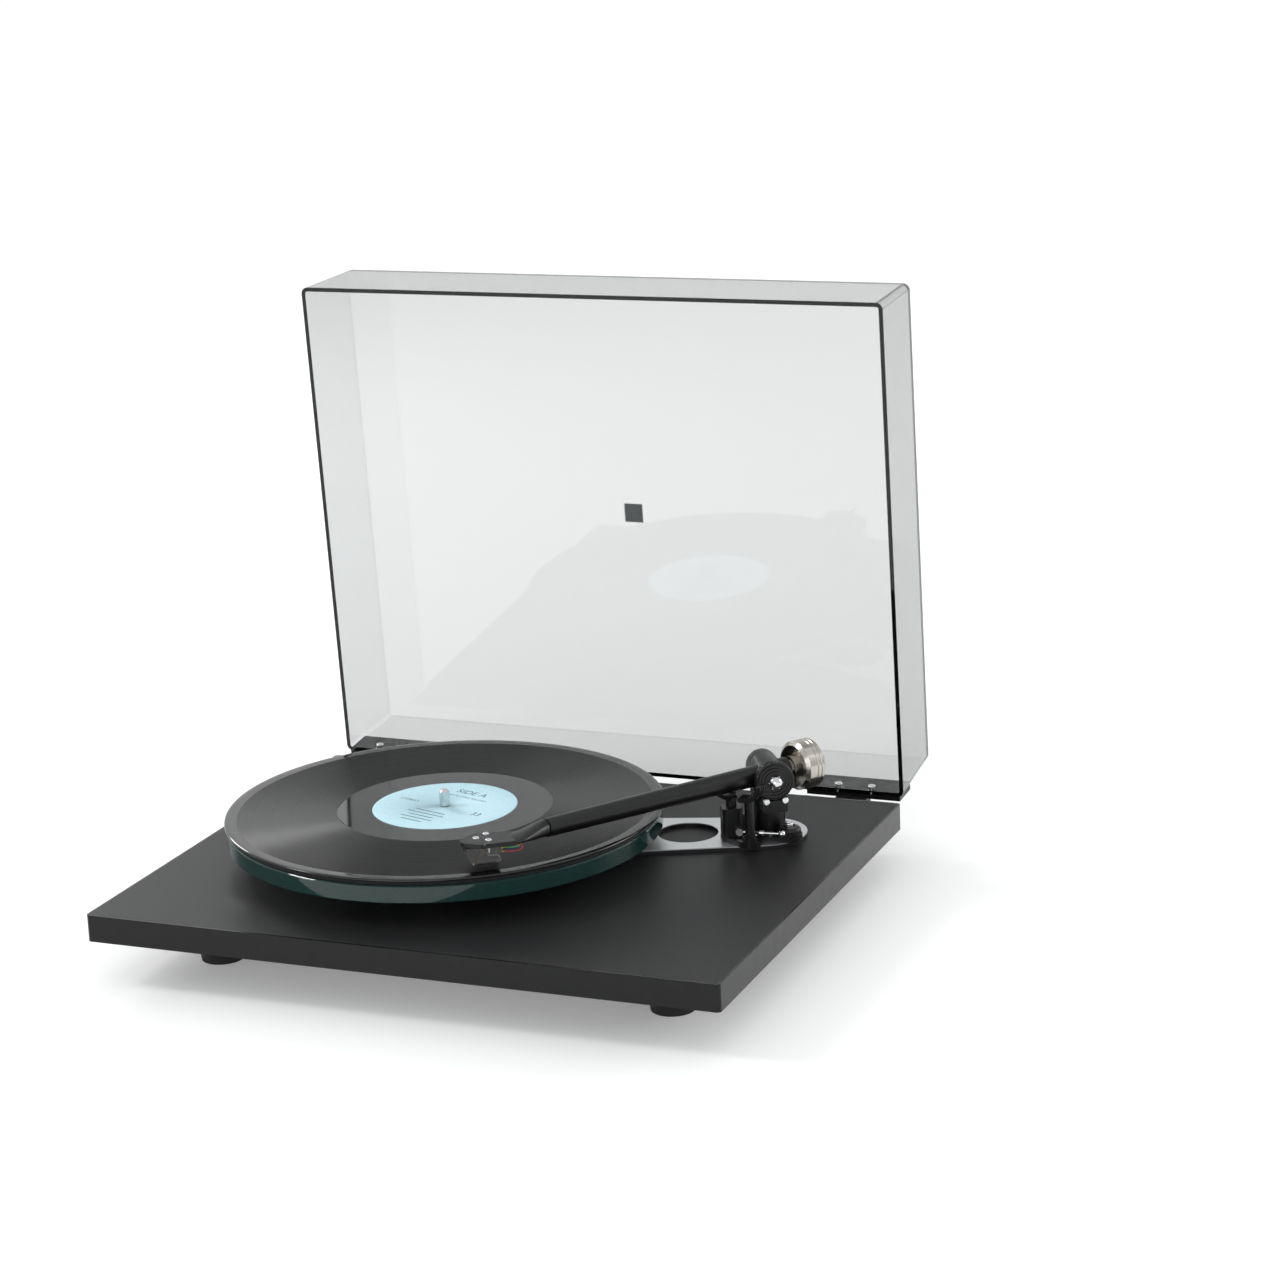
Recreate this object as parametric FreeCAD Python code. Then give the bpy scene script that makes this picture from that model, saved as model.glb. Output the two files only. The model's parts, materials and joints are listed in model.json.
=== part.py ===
"""Belt-drive turntable record player: plinth, glass platter, one-piece tonearm and hinged lid.

Millimetres, +Z up, floor at z = 0, +X to the right and +Y to the back.  Everything is laid out
about the plinth's centre; place() then moves it back so that the origin is the middle of the
footprint of the plinth and the open lid.
"""
import FreeCAD, Part
import math
import os

V = FreeCAD.Vector

# ---- plinth -------------------------------------------------------------------------------------
PLINTH_W = 447.7          # side to side
PLINTH_D = 360.6          # front to back
CORE_T = 16.0             # board
SKIN_T = 1.2              # laminate, top and bottom
EDGE_T = 1.5              # gloss band round the edge
CORNER_R = 3.0
# ---- feet ---------------------------------------------------------------------------------------
FOOT_H = 31.0
FOOT_TOP_R = 19.0
FOOT_LOW_R = 14.5
FOOT_PAD_T = 4.0
FOOT_SIDE_IN = 60.25       # front feet's centres inside the plinth's sides
FOOT_FRONT_IN = 70.8      # and behind its front edge
FOOT_BACK_IN = 45.3       # back foot's centre ahead of the back edge
FOOT_SHANK_R = 2.0
FOOT_SHANK_UP = 12.0      # screw's reach into the board
CUP_WALL = 4.0
CUP_ROOF = 5.0
# ---- platter, record and bearing ----------------------------------------------------------------
SPINDLE_X, SPINDLE_Y = -46.1, 2.7
PLATTER_R = 149.5
PLATTER_T = 12.0
PLATTER_LIFT = 15.6       # plinth top to the glass
PLATTER_BEVEL = 0.8
MAT_R, MAT_T = 147.5, 2.9
RECORD_R, RECORD_T = 150.8, 2.0
LABEL_R, LABEL_T = 50.0, 0.25
SPINDLE_R = 3.58
SPINDLE_RISE = 12.0       # above the record
SPINDLE_DOME = 1.6
PIN_FROM = 0.5            # the record pin proper starts this far above the record
PIN_GROOVE = 0.6          # depth of the undercut below it
PIN_GROOVE_LOW = 0.4      # where the undercut starts, below the record's top
BEARING_R = 5.5           # bearing shaft
HOUSING_R = 10.0
HOUSING_LOW = 18.0        # height of the housing's lower end
HOUSING_FLANGE_R = 16.0
HOUSING_FLANGE_T = 3.6
THRUST_BALL_R = 2.4
# ---- drive --------------------------------------------------------------------------------------
DRIVE_BIG_R = 75.0        # belt line on the sub-platter
DRIVE_SMALL_R = 10.0      # belt line on the pulley's 33 step
DRIVE_FAST_R = 13.5       # pulley's 45 step
BELT_T, BELT_H = 2.0, 2.4
SUBPLATTER_T = 8.0
MOTOR_REACH = 112.0       # bearing to motor
MOTOR_BEARING = 150.0     # direction of the motor from the bearing, degrees
MOTOR_R, MOTOR_H = 30.0, 21.0
MOTOR_SHAFT_R = 1.5
MOTOR_PAD_T = 1.4
MOTOR_ROOF = 4.0          # board left over the motor's pocket
COVER_WALL = 1.5
COVER_FLANGE_T = 2.0
COVER_SCREW_R = 1.3
# ---- inlet and lead clamp, under the board ------------------------------------------------------
INLET_X, INLET_IN = -120.0, 30.0          # centre, and its distance ahead of the back edge
INLET_W, INLET_D, INLET_H = 46.0, 40.0, 13.0
INLET_FLOOR = 1.5
SOCKET_R = 2.8
SOCKET_BARREL_R = 5.0
SOCKET_DROP = 6.0         # its axis below the board
SOCKET_DEPTH = 10.0
CLAMP_X, CLAMP_IN = 150.0, 24.0
# ---- braces -------------------------------------------------------------------------------------
BRACE_T = 2.4
BRACE_SKIN_T = 0.6
BRACE_ARM_X, BRACE_ARM_Y, BRACE_ARM_R = 154.0, 90.0, 30.0
BRACE_HUB_X, BRACE_HUB_Y, BRACE_HUB_R = -50.0, 16.0, 42.0
BRACE_HOLE_X, BRACE_HOLE_Y, BRACE_HOLE_R = 104.3, 73.5, 21.0
# ---- lid ----------------------------------------------------------------------------------------
LID_SIDE_IN = 2.55        # lid's rim inside the plinth's sides
LID_FRONT_IN = 1.0        # and behind its front edge
LID_H = 67.8
LID_WALL = 3.0
LID_DRAFT = 2.4           # each wall leans in by this much over the lid's height
LID_CORNER_R = 5.0
LID_SEAT = 0.4            # rim above the plinth when shut
LID_OPEN = 86.3           # degrees
LID_PAD = 15.0            # moulded square in the middle of the panel
HINGE_BACK = 6.6          # hinge axis behind the plinth
HINGE_DROP = 7.5          # hinge axis below the plinth's top
HINGE_SIDE_IN = 40.35     # hinge's middle inside the plinth's sides
HINGE_W = 70.0
HINGE_KNUCKLE = 23.0      # width of the lid's knuckle
HINGE_R = 5.0
HINGE_PIN_R = 2.0
HINGE_LEAF_H, HINGE_LEAF_T = 24.0, 3.2
HINGE_SCREW_GAP = 25.0
HINGE_SCREW_UP = 5.2      # above the lid's rim
BRACKET_SCREW_R = 1.2
BRACKET_SCREW_IN = 6.0    # inside the bracket's ends
BRACKET_SCREW_UP = 3.4    # above the board's underside
BRACKET_SCREW_REACH = 6.0
# ---- tonearm ------------------------------------------------------------------------------------
PIVOT_X, PIVOT_Y = 158.0, 91.0
ARM_UP = 45.5             # tilt axis above the plinth's top
ARM_DIR = 238.0           # direction of the tube, degrees
ARM_RISE = 0.88           # upward slope of the tube, degrees
HEAD_DIR = 213.0          # direction of the headshell, degrees
TUBE_BACK_R, TUBE_HEAD_R = 7.4, 6.3
TUBE_LEN = 184.0
ARM_HUB_R = 11.0
ARM_HUB_CLEAR = 0.6       # hub's end to the boss
STYLUS_REACH = 237.5      # pivot to stylus
STYLUS_DIR = 236.6
STYLUS_GAP = 0.3
HEAD_UP = 48.0            # underside of the headshell above the plinth's top
HEAD_T = 3.0
HEAD_HALF_W = 11.5
HEAD_NOSE = 7.5           # half-width of the round nose
HEAD_SLOT_R = 1.8
CART_SCREW_BACK = 9.5     # mounting screws behind the stylus
CART_SCREW_GAP = 12.7
CART_W, CART_BACK, CART_FRONT = 17.0, -17.0, 6.0
CART_SHANK_R, CART_SHANK_LEN = 1.25, 4.0
CART_LOW = 35.0           # underside of the body above the plinth's top
NECK_BACK = -27.0         # where the tube has become flat, ahead of the stylus
PIN_LEN = 4.5
PIN_SPOTS = [(-4.2, 44.4), (-1.4, 42.6), (1.4, 44.4), (4.2, 42.6)]   # aside, and above the plinth
WEIGHT_R, WEIGHT_LEN = 17.2, 13.0
WEIGHT_COLLAR_R, WEIGHT_COLLAR_LEN = 8.0, 4.2
WEIGHT_CONE_LEN = 2.2
WEIGHT_LIP, WEIGHT_DISH = 2.6, 2.4        # chamfer's inner edge inside the rim, and the dish's depth
WEIGHT_AT = 17.8          # front of the weight's collar behind the pivot
STUB_R, STUB_LEN = 5.5, 46.0
TAIL_R, TAIL_LEN = 8.0, 15.2              # black sleeve behind the pivot
AXLE_R = 2.5
BOSS_CLEAR = 0.44         # tube's side to the bosses that it crosses at an angle
BOSS_T = 6.1
BOSS_R, FAR_BOSS_R = 13.5, 11.0
DIAL_R, DIAL_T = 13.5, 3.6
PILLAR_R = 11.0
PILLAR_THREAD_R = 7.0     # below the brace's top
PILLAR_THREAD_LEN = 9.0   # below the lower brace
PILLAR_NUT_R, PILLAR_NUT_T = 13.5, 6.0
PILLAR_UP = 23.0          # top of the pillar above the plinth's top
YOKE_SHAFT_R = 4.0
YOKE_SCREW_R = 1.2
YOKE_FLOOR = 30.5         # top of the yoke's bridge above the plinth's top
YOKE_HALF = 8.4           # half-depth of the bridge
YOKE_SCREW_OUT, YOKE_SCREW_UP = 6.5, 31.5
# ---- arm base, lift and rest --------------------------------------------------------------------
BASE_T = 4.0
BASE_RIM = 3.5            # foot plate outside the pillar
BASE_SCREW_R = 1.2
LIFT_X, LIFT_Y = 139.0, 68.0
LIFT_SIZE, LIFT_UP = 14.0, 27.0
LIFT_PIN_R = 1.6
PLATFORM_R, PLATFORM_W, PLATFORM_T = 36.0, 6.0, 3.0
PLATFORM_FROM, PLATFORM_TO = 221.0, 250.0
PLATFORM_GAP = 0.9        # under the tube when lowered
REST_REACH, REST_DIR = 34.0, 264.0
REST_GRIP = 0.5           # round the parked tube
REST_WALL, REST_DEEP, REST_LIP = 2.6, 9.0, 4.5
REST_RIB = 0.8            # ribs round the cradle's back
REST_OVER = 2.8           # more room above it, for a raised lift
LEVER_X, LEVER_Y, LEVER_UP = 146.8, 62.6, 11.0
LEVER_DIR, LEVER_LEN = 6.4, 29.5
LEVER_R, LEVER_BALL_R = 0.9, 2.4
LEVER_BUSH_R = 2.6
LEVER_BUSH_IN = 7.0        # inside the tower
LEVER_BUSH_OUT = 1.4
BIAS_X, BIAS_Y, BIAS_R, BIAS_UP = 176.5, 79.5, 8.0, 12.0
BIAS_TRAVEL = 3.0
# ---- small fits ---------------------------------------------------------------------------------
RUN = 0.03                # shaft in its bearing, radial
SLIP = 0.10               # piece dropped into a hole, radial
CLEAR = 0.3               # between bodies that pass each other

# ---- derived ------------------------------------------------------------------------------------
UNDER = FOOT_H
CORE_LOW = UNDER + SKIN_T
CORE_TOP = CORE_LOW + CORE_T
TOP = CORE_TOP + SKIN_T
BRACE_TOP = TOP + BRACE_T + BRACE_SKIN_T
BRACE_LOW = UNDER - BRACE_T - BRACE_SKIN_T
BACK = PLINTH_D / 2
FOOT_SHANK_TOP = UNDER + FOOT_SHANK_UP
FOOT_LIP_R = FOOT_LOW_R + (FOOT_TOP_R - FOOT_LOW_R) * FOOT_PAD_T / FOOT_H
LID_W = PLINTH_W - 2 * LID_SIDE_IN
LID_D = PLINTH_D - LID_FRONT_IN
HINGE_X = PLINTH_W / 2 - HINGE_SIDE_IN
ARM_SKEW = math.radians(ARM_DIR - HEAD_DIR)
BOSS_IN = BOSS_R * math.tan(ARM_SKEW) + TUBE_BACK_R / math.cos(ARM_SKEW) + BOSS_CLEAR
BOSS_OUT = BOSS_IN + BOSS_T
ARM_HUB_HALF = BOSS_IN - ARM_HUB_CLEAR
SPIN = V(SPINDLE_X, SPINDLE_Y, 0)
GLASS_LOW = TOP + PLATTER_LIFT
GLASS_TOP = GLASS_LOW + PLATTER_T
MAT_TOP = GLASS_TOP + MAT_T
RECORD_TOP = MAT_TOP + RECORD_T
SPINDLE_TIP = RECORD_TOP + SPINDLE_RISE
SUB_LOW = GLASS_LOW - SUBPLATTER_T
BELT_Z = GLASS_LOW - SUBPLATTER_T / 2
PIVOT = V(PIVOT_X, PIVOT_Y, 0)
AXIS_Z = TOP + ARM_UP
HINGE_Y = BACK + HINGE_BACK
HINGE_Z = TOP - HINGE_DROP
BRACKET_T = HINGE_BACK - HINGE_R - CLEAR
RIM_Z = TOP + LID_SEAT
MOTOR_ROOF_Z = TOP - MOTOR_ROOF
MOTOR_TOP = MOTOR_ROOF_Z - MOTOR_PAD_T
MOTOR_LOW = MOTOR_TOP - MOTOR_H


def heading(degrees):
    """Level unit vector in a compass-like direction, 0 along +X and 90 along +Y."""
    return V(math.cos(math.radians(degrees)), math.sin(math.radians(degrees)), 0)


MOTOR = SPIN + heading(MOTOR_BEARING) * MOTOR_REACH
FOOT_X, FOOT_Y = PLINTH_W / 2 - FOOT_SIDE_IN, FOOT_FRONT_IN - BACK
FEET = [V(-FOOT_X, FOOT_Y, 0), V(FOOT_X, FOOT_Y, 0), V(0, BACK - FOOT_BACK_IN, 0)]
AHEAD = heading(HEAD_DIR)                 # headshell, away from the pivot
ASIDE = heading(HEAD_DIR + 90)            # tilt axis, towards the front right
ALONG = heading(ARM_DIR)
TUBE = V(ALONG.x, ALONG.y, math.tan(math.radians(ARM_RISE))).normalize()
STYLUS = PIVOT + heading(STYLUS_DIR) * STYLUS_REACH
HEAD_LOW = TOP + HEAD_UP
REST = PIVOT + heading(REST_DIR) * REST_REACH
LEVER = V(LEVER_X, LEVER_Y, TOP + LEVER_UP)
COVER_FLANGE_R = MOTOR_R + 12
INLET_Y = max(BACK - INLET_IN, MOTOR.y + COVER_FLANGE_R + INLET_D / 2 + SLIP)
INLET = V(INLET_X, INLET_Y, 0)
CLAMP = V(CLAMP_X, BACK - CLAMP_IN, 0)
CART_HOLES = [(-CART_SCREW_BACK, -CART_SCREW_GAP / 2), (-CART_SCREW_BACK, CART_SCREW_GAP / 2),
              (-CART_SCREW_BACK + 7.3, 0.0)]


# ---- drawing helpers ----------------------------------------------------------------------------
def rod(radius, start, end):
    """Round bar between two points."""
    return Part.makeCylinder(radius, (end - start).Length, start, end - start)


def post(radius, centre, low, high):
    """Upright round bar."""
    return Part.makeCylinder(radius, high - low, V(centre.x, centre.y, low))


def block(x0, x1, y0, y1, z0, z1):
    """Box between two corners."""
    return Part.makeBox(x1 - x0, y1 - y0, z1 - z0, V(x0, y0, z0))


def turned(profile, centre):
    """Body of revolution about the upright line through centre, from (radius, height) points."""
    points = [V(r, 0, z) for r, z in profile]
    face = Part.Face(Part.makePolygon(points + points[:1]))
    solid = face.revolve(V(0, 0, 0), V(0, 0, 1), 360)
    solid.translate(V(centre.x, centre.y, 0))
    return solid


def rounded_outline(width, depth, radius):
    """Closed wire of a rectangle with round corners, centred on the origin."""
    x, y, r = width / 2, depth / 2, radius
    edges = []
    corners = [(x - r, y - r, 0), (-x + r, y - r, 90), (-x + r, -y + r, 180), (x - r, -y + r, 270)]
    for index, (cx, cy, start) in enumerate(corners):
        centre = V(cx, cy, 0)
        a, m, b = (centre + heading(start + turn) * r for turn in (0, 45, 90))
        edges.append(Part.Arc(a, m, b).toShape())
        nx, ny, following = corners[(index + 1) % 4]
        edges.append(Part.makeLine(b, V(nx, ny, 0) + heading(following) * r))
    return Part.Wire(edges)


def slab(wire, low, high):
    """Plate of a level outline."""
    solid = Part.Face(wire).extrude(V(0, 0, high - low))
    solid.translate(V(0, 0, low))
    return solid


def belt_wire(centre_a, radius_a, centre_b, radius_b):
    """Outline of a tight band round two circles."""
    across = centre_b - centre_a
    toward = math.degrees(math.atan2(across.y, across.x))
    lean = math.degrees(math.acos((radius_a - radius_b) / across.Length))
    a0, a1 = (centre_a + heading(toward + side * lean) * radius_a for side in (1, -1))
    b0, b1 = (centre_b + heading(toward + side * lean) * radius_b for side in (1, -1))
    far_a = centre_a - heading(toward) * radius_a
    far_b = centre_b + heading(toward) * radius_b
    return Part.Wire([Part.Arc(a0, far_a, a1).toShape(), Part.makeLine(a1, b1),
                      Part.Arc(b1, far_b, b0).toShape(), Part.makeLine(b0, a0)])


def band(centre_a, radius_a, centre_b, radius_b, low, high):
    """Plate whose outline is a tight band round two circles."""
    return slab(belt_wire(centre_a, radius_a, centre_b, radius_b), low, high)


def group(solids):
    """Several separate solids in one sub-part."""
    return Part.makeCompound(list(solids))


def opened(shape):
    """Turn a lid piece from shut to open."""
    turned_shape = shape.copy()
    turned_shape.rotate(V(0, HINGE_Y, HINGE_Z), V(1, 0, 0), -LID_OPEN)
    return turned_shape


def head_point(ahead, aside, height):
    """Point by distance ahead of and beside the stylus, and height above the plinth's top."""
    return V(STYLUS.x, STYLUS.y, TOP + height) + AHEAD * ahead + ASIDE * aside


def head_block(back, front, left, right, low, high):
    """Box squared to the headshell."""
    corners = [head_point(a, b, low) for a, b in
               ((back, left), (front, left), (front, right), (back, right))]
    return Part.Face(Part.makePolygon(corners + corners[:1])).extrude(V(0, 0, high - low))


def yoke_point(ahead, aside, height):
    """Point by distance ahead of and beside the pivot, and height above the plinth's top."""
    return V(PIVOT.x, PIVOT.y, TOP + height) + AHEAD * ahead + ASIDE * aside


def yoke_block(back, front, left, right, low, high):
    """Box squared to the tilt axis."""
    corners = [yoke_point(a, b, low) for a, b in
               ((back, left), (front, left), (front, right), (back, right))]
    return Part.Face(Part.makePolygon(corners + corners[:1])).extrude(V(0, 0, high - low))


def tube_point(reach):
    """Point on the tube's centre line, ahead of the pivot."""
    return V(PIVOT.x, PIVOT.y, AXIS_Z) + TUBE * reach


def fastener(point, outward, head_r, head_t, shank_r, shank_len):
    """Pan-head screw: head outside point, shank inside it."""
    head = Part.makeCylinder(head_r, head_t, point, outward)
    head = head.makeFillet(head_t * 0.4, [e for e in head.Edges if e.Closed][:1])
    shank = Part.makeCylinder(shank_r, shank_len, point - outward * shank_len, outward)
    return head.fuse(shank)


# ---- plinth -------------------------------------------------------------------------------------
def pillar_hole(low, high):
    return post(PILLAR_THREAD_R + SLIP, PIVOT, low, high)


def board_holes():
    """Everything that passes through the board."""
    holes = [post(HOUSING_R + SLIP, SPIN, UNDER - 1, TOP + 1),
             pillar_hole(UNDER - 1, TOP + 1),
             post(DRIVE_FAST_R + 2, MOTOR, MOTOR_ROOF_Z - 1, TOP + 1),
             post(MOTOR_R + 4, MOTOR, UNDER - 1, MOTOR_ROOF_Z)]
    holes += [post(FOOT_SHANK_R + SLIP / 2, foot, UNDER - 1, FOOT_SHANK_TOP) for foot in FEET]
    return group(holes)


def board(low, high):
    """One layer of the board, inside the edge band."""
    outline = rounded_outline(PLINTH_W - 2 * EDGE_T, PLINTH_D - 2 * EDGE_T, CORNER_R - EDGE_T)
    return slab(outline, low, high).cut(board_holes()).cut(cover_screw_holes())


def plinth_edge_trim():
    outer = slab(rounded_outline(PLINTH_W, PLINTH_D, CORNER_R), UNDER, TOP)
    inner = rounded_outline(PLINTH_W - 2 * EDGE_T, PLINTH_D - 2 * EDGE_T, CORNER_R - EDGE_T)
    return outer.cut(slab(inner, UNDER, TOP))


def brace(low, high):
    plate = band(V(BRACE_HUB_X, BRACE_HUB_Y, 0), BRACE_HUB_R,
                 V(BRACE_ARM_X, BRACE_ARM_Y, 0), BRACE_ARM_R, low, high)
    plate = plate.cut(post(BRACE_HOLE_R, V(BRACE_HOLE_X, BRACE_HOLE_Y, 0), low, high))
    plate = plate.cut(post(HOUSING_R + SLIP, SPIN, low, high))
    return plate.cut(pillar_hole(low, high))


# ---- feet ---------------------------------------------------------------------------------------
def foot_cup(centre):
    hollow = FOOT_LIP_R - CUP_WALL
    profile = [(FOOT_SHANK_R + SLIP, UNDER), (FOOT_TOP_R, UNDER), (FOOT_LIP_R, FOOT_PAD_T),
               (hollow, FOOT_PAD_T), (hollow, UNDER - CUP_ROOF),
               (FOOT_SHANK_R + SLIP, UNDER - CUP_ROOF)]
    return turned(profile, centre)


def foot_pad(centre):
    plug = FOOT_LIP_R - CUP_WALL - SLIP
    profile = [(0, 0), (FOOT_LOW_R, 0), (FOOT_LIP_R, FOOT_PAD_T), (plug, FOOT_PAD_T),
               (plug, FOOT_PAD_T + 7), (0, FOOT_PAD_T + 7)]
    return turned(profile, centre)


def foot_screw(centre):
    seat = V(centre.x, centre.y, UNDER - CUP_ROOF)
    return fastener(seat, V(0, 0, -1), 4.5, 3.0, FOOT_SHANK_R, FOOT_SHANK_TOP - seat.z)


# ---- main bearing and platter -------------------------------------------------------------------
def bearing_housing():
    floor = HOUSING_LOW + 3.0
    bore = BEARING_R + RUN
    top = BRACE_TOP + HOUSING_FLANGE_T
    profile = [(0, HOUSING_LOW), (HOUSING_R, HOUSING_LOW), (HOUSING_R, BRACE_TOP),
               (HOUSING_FLANGE_R, BRACE_TOP), (HOUSING_FLANGE_R, top), (bore, top),
               (bore, floor), (0, floor)]
    return turned(profile, SPIN)


def bearing_nut():
    ring = post(HOUSING_FLANGE_R, SPIN, BRACE_LOW - 5.0, BRACE_LOW)
    flats = Part.makePolygon([SPIN + heading(60 * k) * (HOUSING_FLANGE_R - 0.6) for k in range(7)])
    hexagon = slab(flats, BRACE_LOW - 5.0, BRACE_LOW)
    return ring.common(hexagon).cut(post(HOUSING_R, SPIN, BRACE_LOW - 6.0, BRACE_LOW + 1))


def thrust_ball():
    return Part.makeSphere(THRUST_BALL_R, V(SPIN.x, SPIN.y, HOUSING_LOW + 3.0 + THRUST_BALL_R))


def platter_spindle():
    """Bearing shaft, sub-platter seat and record pin, turned in one piece."""
    foot = HOUSING_LOW + 3.0 + 2 * THRUST_BALL_R + SLIP
    neck, start, step = SPINDLE_R - PIN_GROOVE, RECORD_TOP - PIN_GROOVE_LOW, RECORD_TOP + PIN_FROM
    profile = [(0, foot), (BEARING_R, foot), (BEARING_R, GLASS_LOW), (SPINDLE_R, GLASS_LOW),
               (SPINDLE_R, start), (neck, start), (neck, step), (SPINDLE_R, step),
               (SPINDLE_R, SPINDLE_TIP - SPINDLE_DOME),
               (SPINDLE_R - SPINDLE_DOME, SPINDLE_TIP), (0, SPINDLE_TIP)]
    return turned(profile, SPIN)


def subplatter():
    rim = DRIVE_BIG_R + BELT_T
    root = DRIVE_BIG_R - BELT_T / 2 - CLEAR
    half = BELT_H / 2 + CLEAR
    profile = [(BEARING_R, SUB_LOW), (22, SUB_LOW), (24, SUB_LOW + 3), (rim - 8, SUB_LOW + 3),
               (rim - 6, SUB_LOW), (rim, SUB_LOW), (rim, BELT_Z - half), (root, BELT_Z - half),
               (root, BELT_Z + half), (rim, BELT_Z + half), (rim, GLASS_LOW),
               (BEARING_R, GLASS_LOW)]
    return turned(profile, SPIN)


def glass_platter():
    b = PLATTER_BEVEL
    bore = SPINDLE_R + SLIP
    profile = [(bore, GLASS_LOW), (PLATTER_R - b, GLASS_LOW), (PLATTER_R, GLASS_LOW + b),
               (PLATTER_R, GLASS_TOP - b), (PLATTER_R - b, GLASS_TOP), (bore, GLASS_TOP)]
    return turned(profile, SPIN)


def mat():
    return post(MAT_R, SPIN, GLASS_TOP, MAT_TOP).cut(
        post(SPINDLE_R + SLIP, SPIN, GLASS_TOP, MAT_TOP))


def record():
    """12 inch disc with a raised lip and a recess for the label."""
    bore = SPINDLE_R + SLIP
    skin = RECORD_TOP - LABEL_T
    groove = RECORD_TOP - 0.15
    profile = [(bore, MAT_TOP), (RECORD_R - 0.8, MAT_TOP), (RECORD_R, MAT_TOP + 0.6),
               (RECORD_R, RECORD_TOP - 0.6), (RECORD_R - 0.8, RECORD_TOP),
               (RECORD_R - 3.5, RECORD_TOP), (RECORD_R - 4.5, groove), (LABEL_R + 1, groove),
               (LABEL_R, skin), (bore, skin)]
    return turned(profile, SPIN)


def record_label():
    ring = post(LABEL_R - 0.1, SPIN, RECORD_TOP - LABEL_T, RECORD_TOP)
    return ring.cut(post(SPINDLE_R + SLIP, SPIN, RECORD_TOP - 1, RECORD_TOP + 1))


# ---- drive --------------------------------------------------------------------------------------
def motor_body():
    """Flat synchronous motor with a bearing boss, hollow for its shaft."""
    boss_top = MOTOR_TOP + MOTOR_PAD_T + 1.0
    profile = [(MOTOR_SHAFT_R + RUN, MOTOR_LOW + 2), (MOTOR_SHAFT_R + RUN, boss_top),
               (5, boss_top), (5, MOTOR_TOP), (MOTOR_R, MOTOR_TOP), (MOTOR_R, MOTOR_LOW),
               (0, MOTOR_LOW), (0, MOTOR_LOW + 2)]
    return turned(profile, MOTOR)


def motor_mount():
    ring = post(MOTOR_R - 1, MOTOR, MOTOR_TOP, MOTOR_ROOF_Z)
    return ring.cut(post(DRIVE_FAST_R + 3, MOTOR, MOTOR_TOP, MOTOR_ROOF_Z))


def motor_cover():
    """Dished cover under the motor's pocket, with a flange on the board."""
    low = MOTOR_LOW - COVER_WALL - 1.5
    inner, outer, flange = MOTOR_R + 2, MOTOR_R + 2 + COVER_WALL, COVER_FLANGE_R
    profile = [(0, low), (outer - 2, low), (outer, low + 2), (outer, UNDER - COVER_FLANGE_T),
               (flange, UNDER - COVER_FLANGE_T), (flange, UNDER), (inner, UNDER), (inner, low + COVER_WALL),
               (0, low + COVER_WALL)]
    return turned(profile, MOTOR).cut(cover_screw_holes())


def cover_screw_holes():
    return group(post(COVER_SCREW_R + SLIP / 2, spot, UNDER - 3, UNDER + 8) for spot in cover_screw_spots())


def motor_shaft():
    foot = V(MOTOR.x, MOTOR.y, MOTOR_LOW + 2 + CLEAR)
    return rod(MOTOR_SHAFT_R, foot, V(MOTOR.x, MOTOR.y, GLASS_LOW - 1.4))


def motor_pulley():
    """Two steps: 45 below, 33 above, with a groove for the belt."""
    low, split, high = TOP + 2.6, BELT_Z - 2.6, GLASS_LOW - 1.0
    root = DRIVE_SMALL_R - BELT_T / 2 - CLEAR
    fast_root = DRIVE_FAST_R - BELT_T / 2
    half = BELT_H / 2 + CLEAR
    middle = (low + split) / 2
    profile = [(MOTOR_SHAFT_R, low), (DRIVE_FAST_R, low), (fast_root, middle),
               (DRIVE_FAST_R, split), (DRIVE_SMALL_R + 1, split), (DRIVE_SMALL_R + 1, BELT_Z - half),
               (root, BELT_Z - half), (root, BELT_Z + half), (DRIVE_SMALL_R + 1, BELT_Z + half),
               (DRIVE_SMALL_R + 1, high), (0, high), (0, GLASS_LOW - 1.4),
               (MOTOR_SHAFT_R, GLASS_LOW - 1.4)]
    return turned(profile, MOTOR)


def drive_belt():
    low, high = BELT_Z - BELT_H / 2, BELT_Z + BELT_H / 2
    half = BELT_T / 2
    outer = band(SPIN, DRIVE_BIG_R + half, MOTOR, DRIVE_SMALL_R + half, low, high)
    return outer.cut(band(SPIN, DRIVE_BIG_R - half, MOTOR, DRIVE_SMALL_R - half, low, high))


# ---- electrics under the board ------------------------------------------------------------------
def inlet_housing():
    """Tray screwed under the board over the control board."""
    w, d = INLET_W / 2, INLET_D / 2
    tray = block(INLET.x - w, INLET.x + w, INLET.y - d, INLET.y + d, UNDER - INLET_H, UNDER)
    tray = tray.makeFillet(3, [e for e in tray.Edges if abs(e.tangentAt(0).z) > 0.9])
    hollow = block(INLET.x - w + 2, INLET.x + w - 2, INLET.y - d + 2, INLET.y + d - 2,
                   UNDER - INLET_H + INLET_FLOOR, UNDER)
    mouth = Part.makeCylinder(SOCKET_BARREL_R + SLIP, 6, V(INLET.x, INLET.y + d - 3, UNDER - SOCKET_DROP),
                              V(0, 1, 0))
    return tray.cut(hollow).cut(mouth)


def power_socket():
    d = INLET_D / 2
    front = V(INLET.x, INLET.y + d, UNDER - SOCKET_DROP)
    barrel = Part.makeCylinder(SOCKET_BARREL_R, SOCKET_DEPTH + 3, front - V(0, SOCKET_DEPTH + 3, 0),
                               V(0, 1, 0))
    well = Part.makeCylinder(SOCKET_R, SOCKET_DEPTH, front - V(0, SOCKET_DEPTH, 0), V(0, 1, 0))
    pin = Part.makeCylinder(0.95, SOCKET_DEPTH - 1, front - V(0, SOCKET_DEPTH, 0), V(0, 1, 0))
    return barrel.cut(well).fuse(pin)


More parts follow.
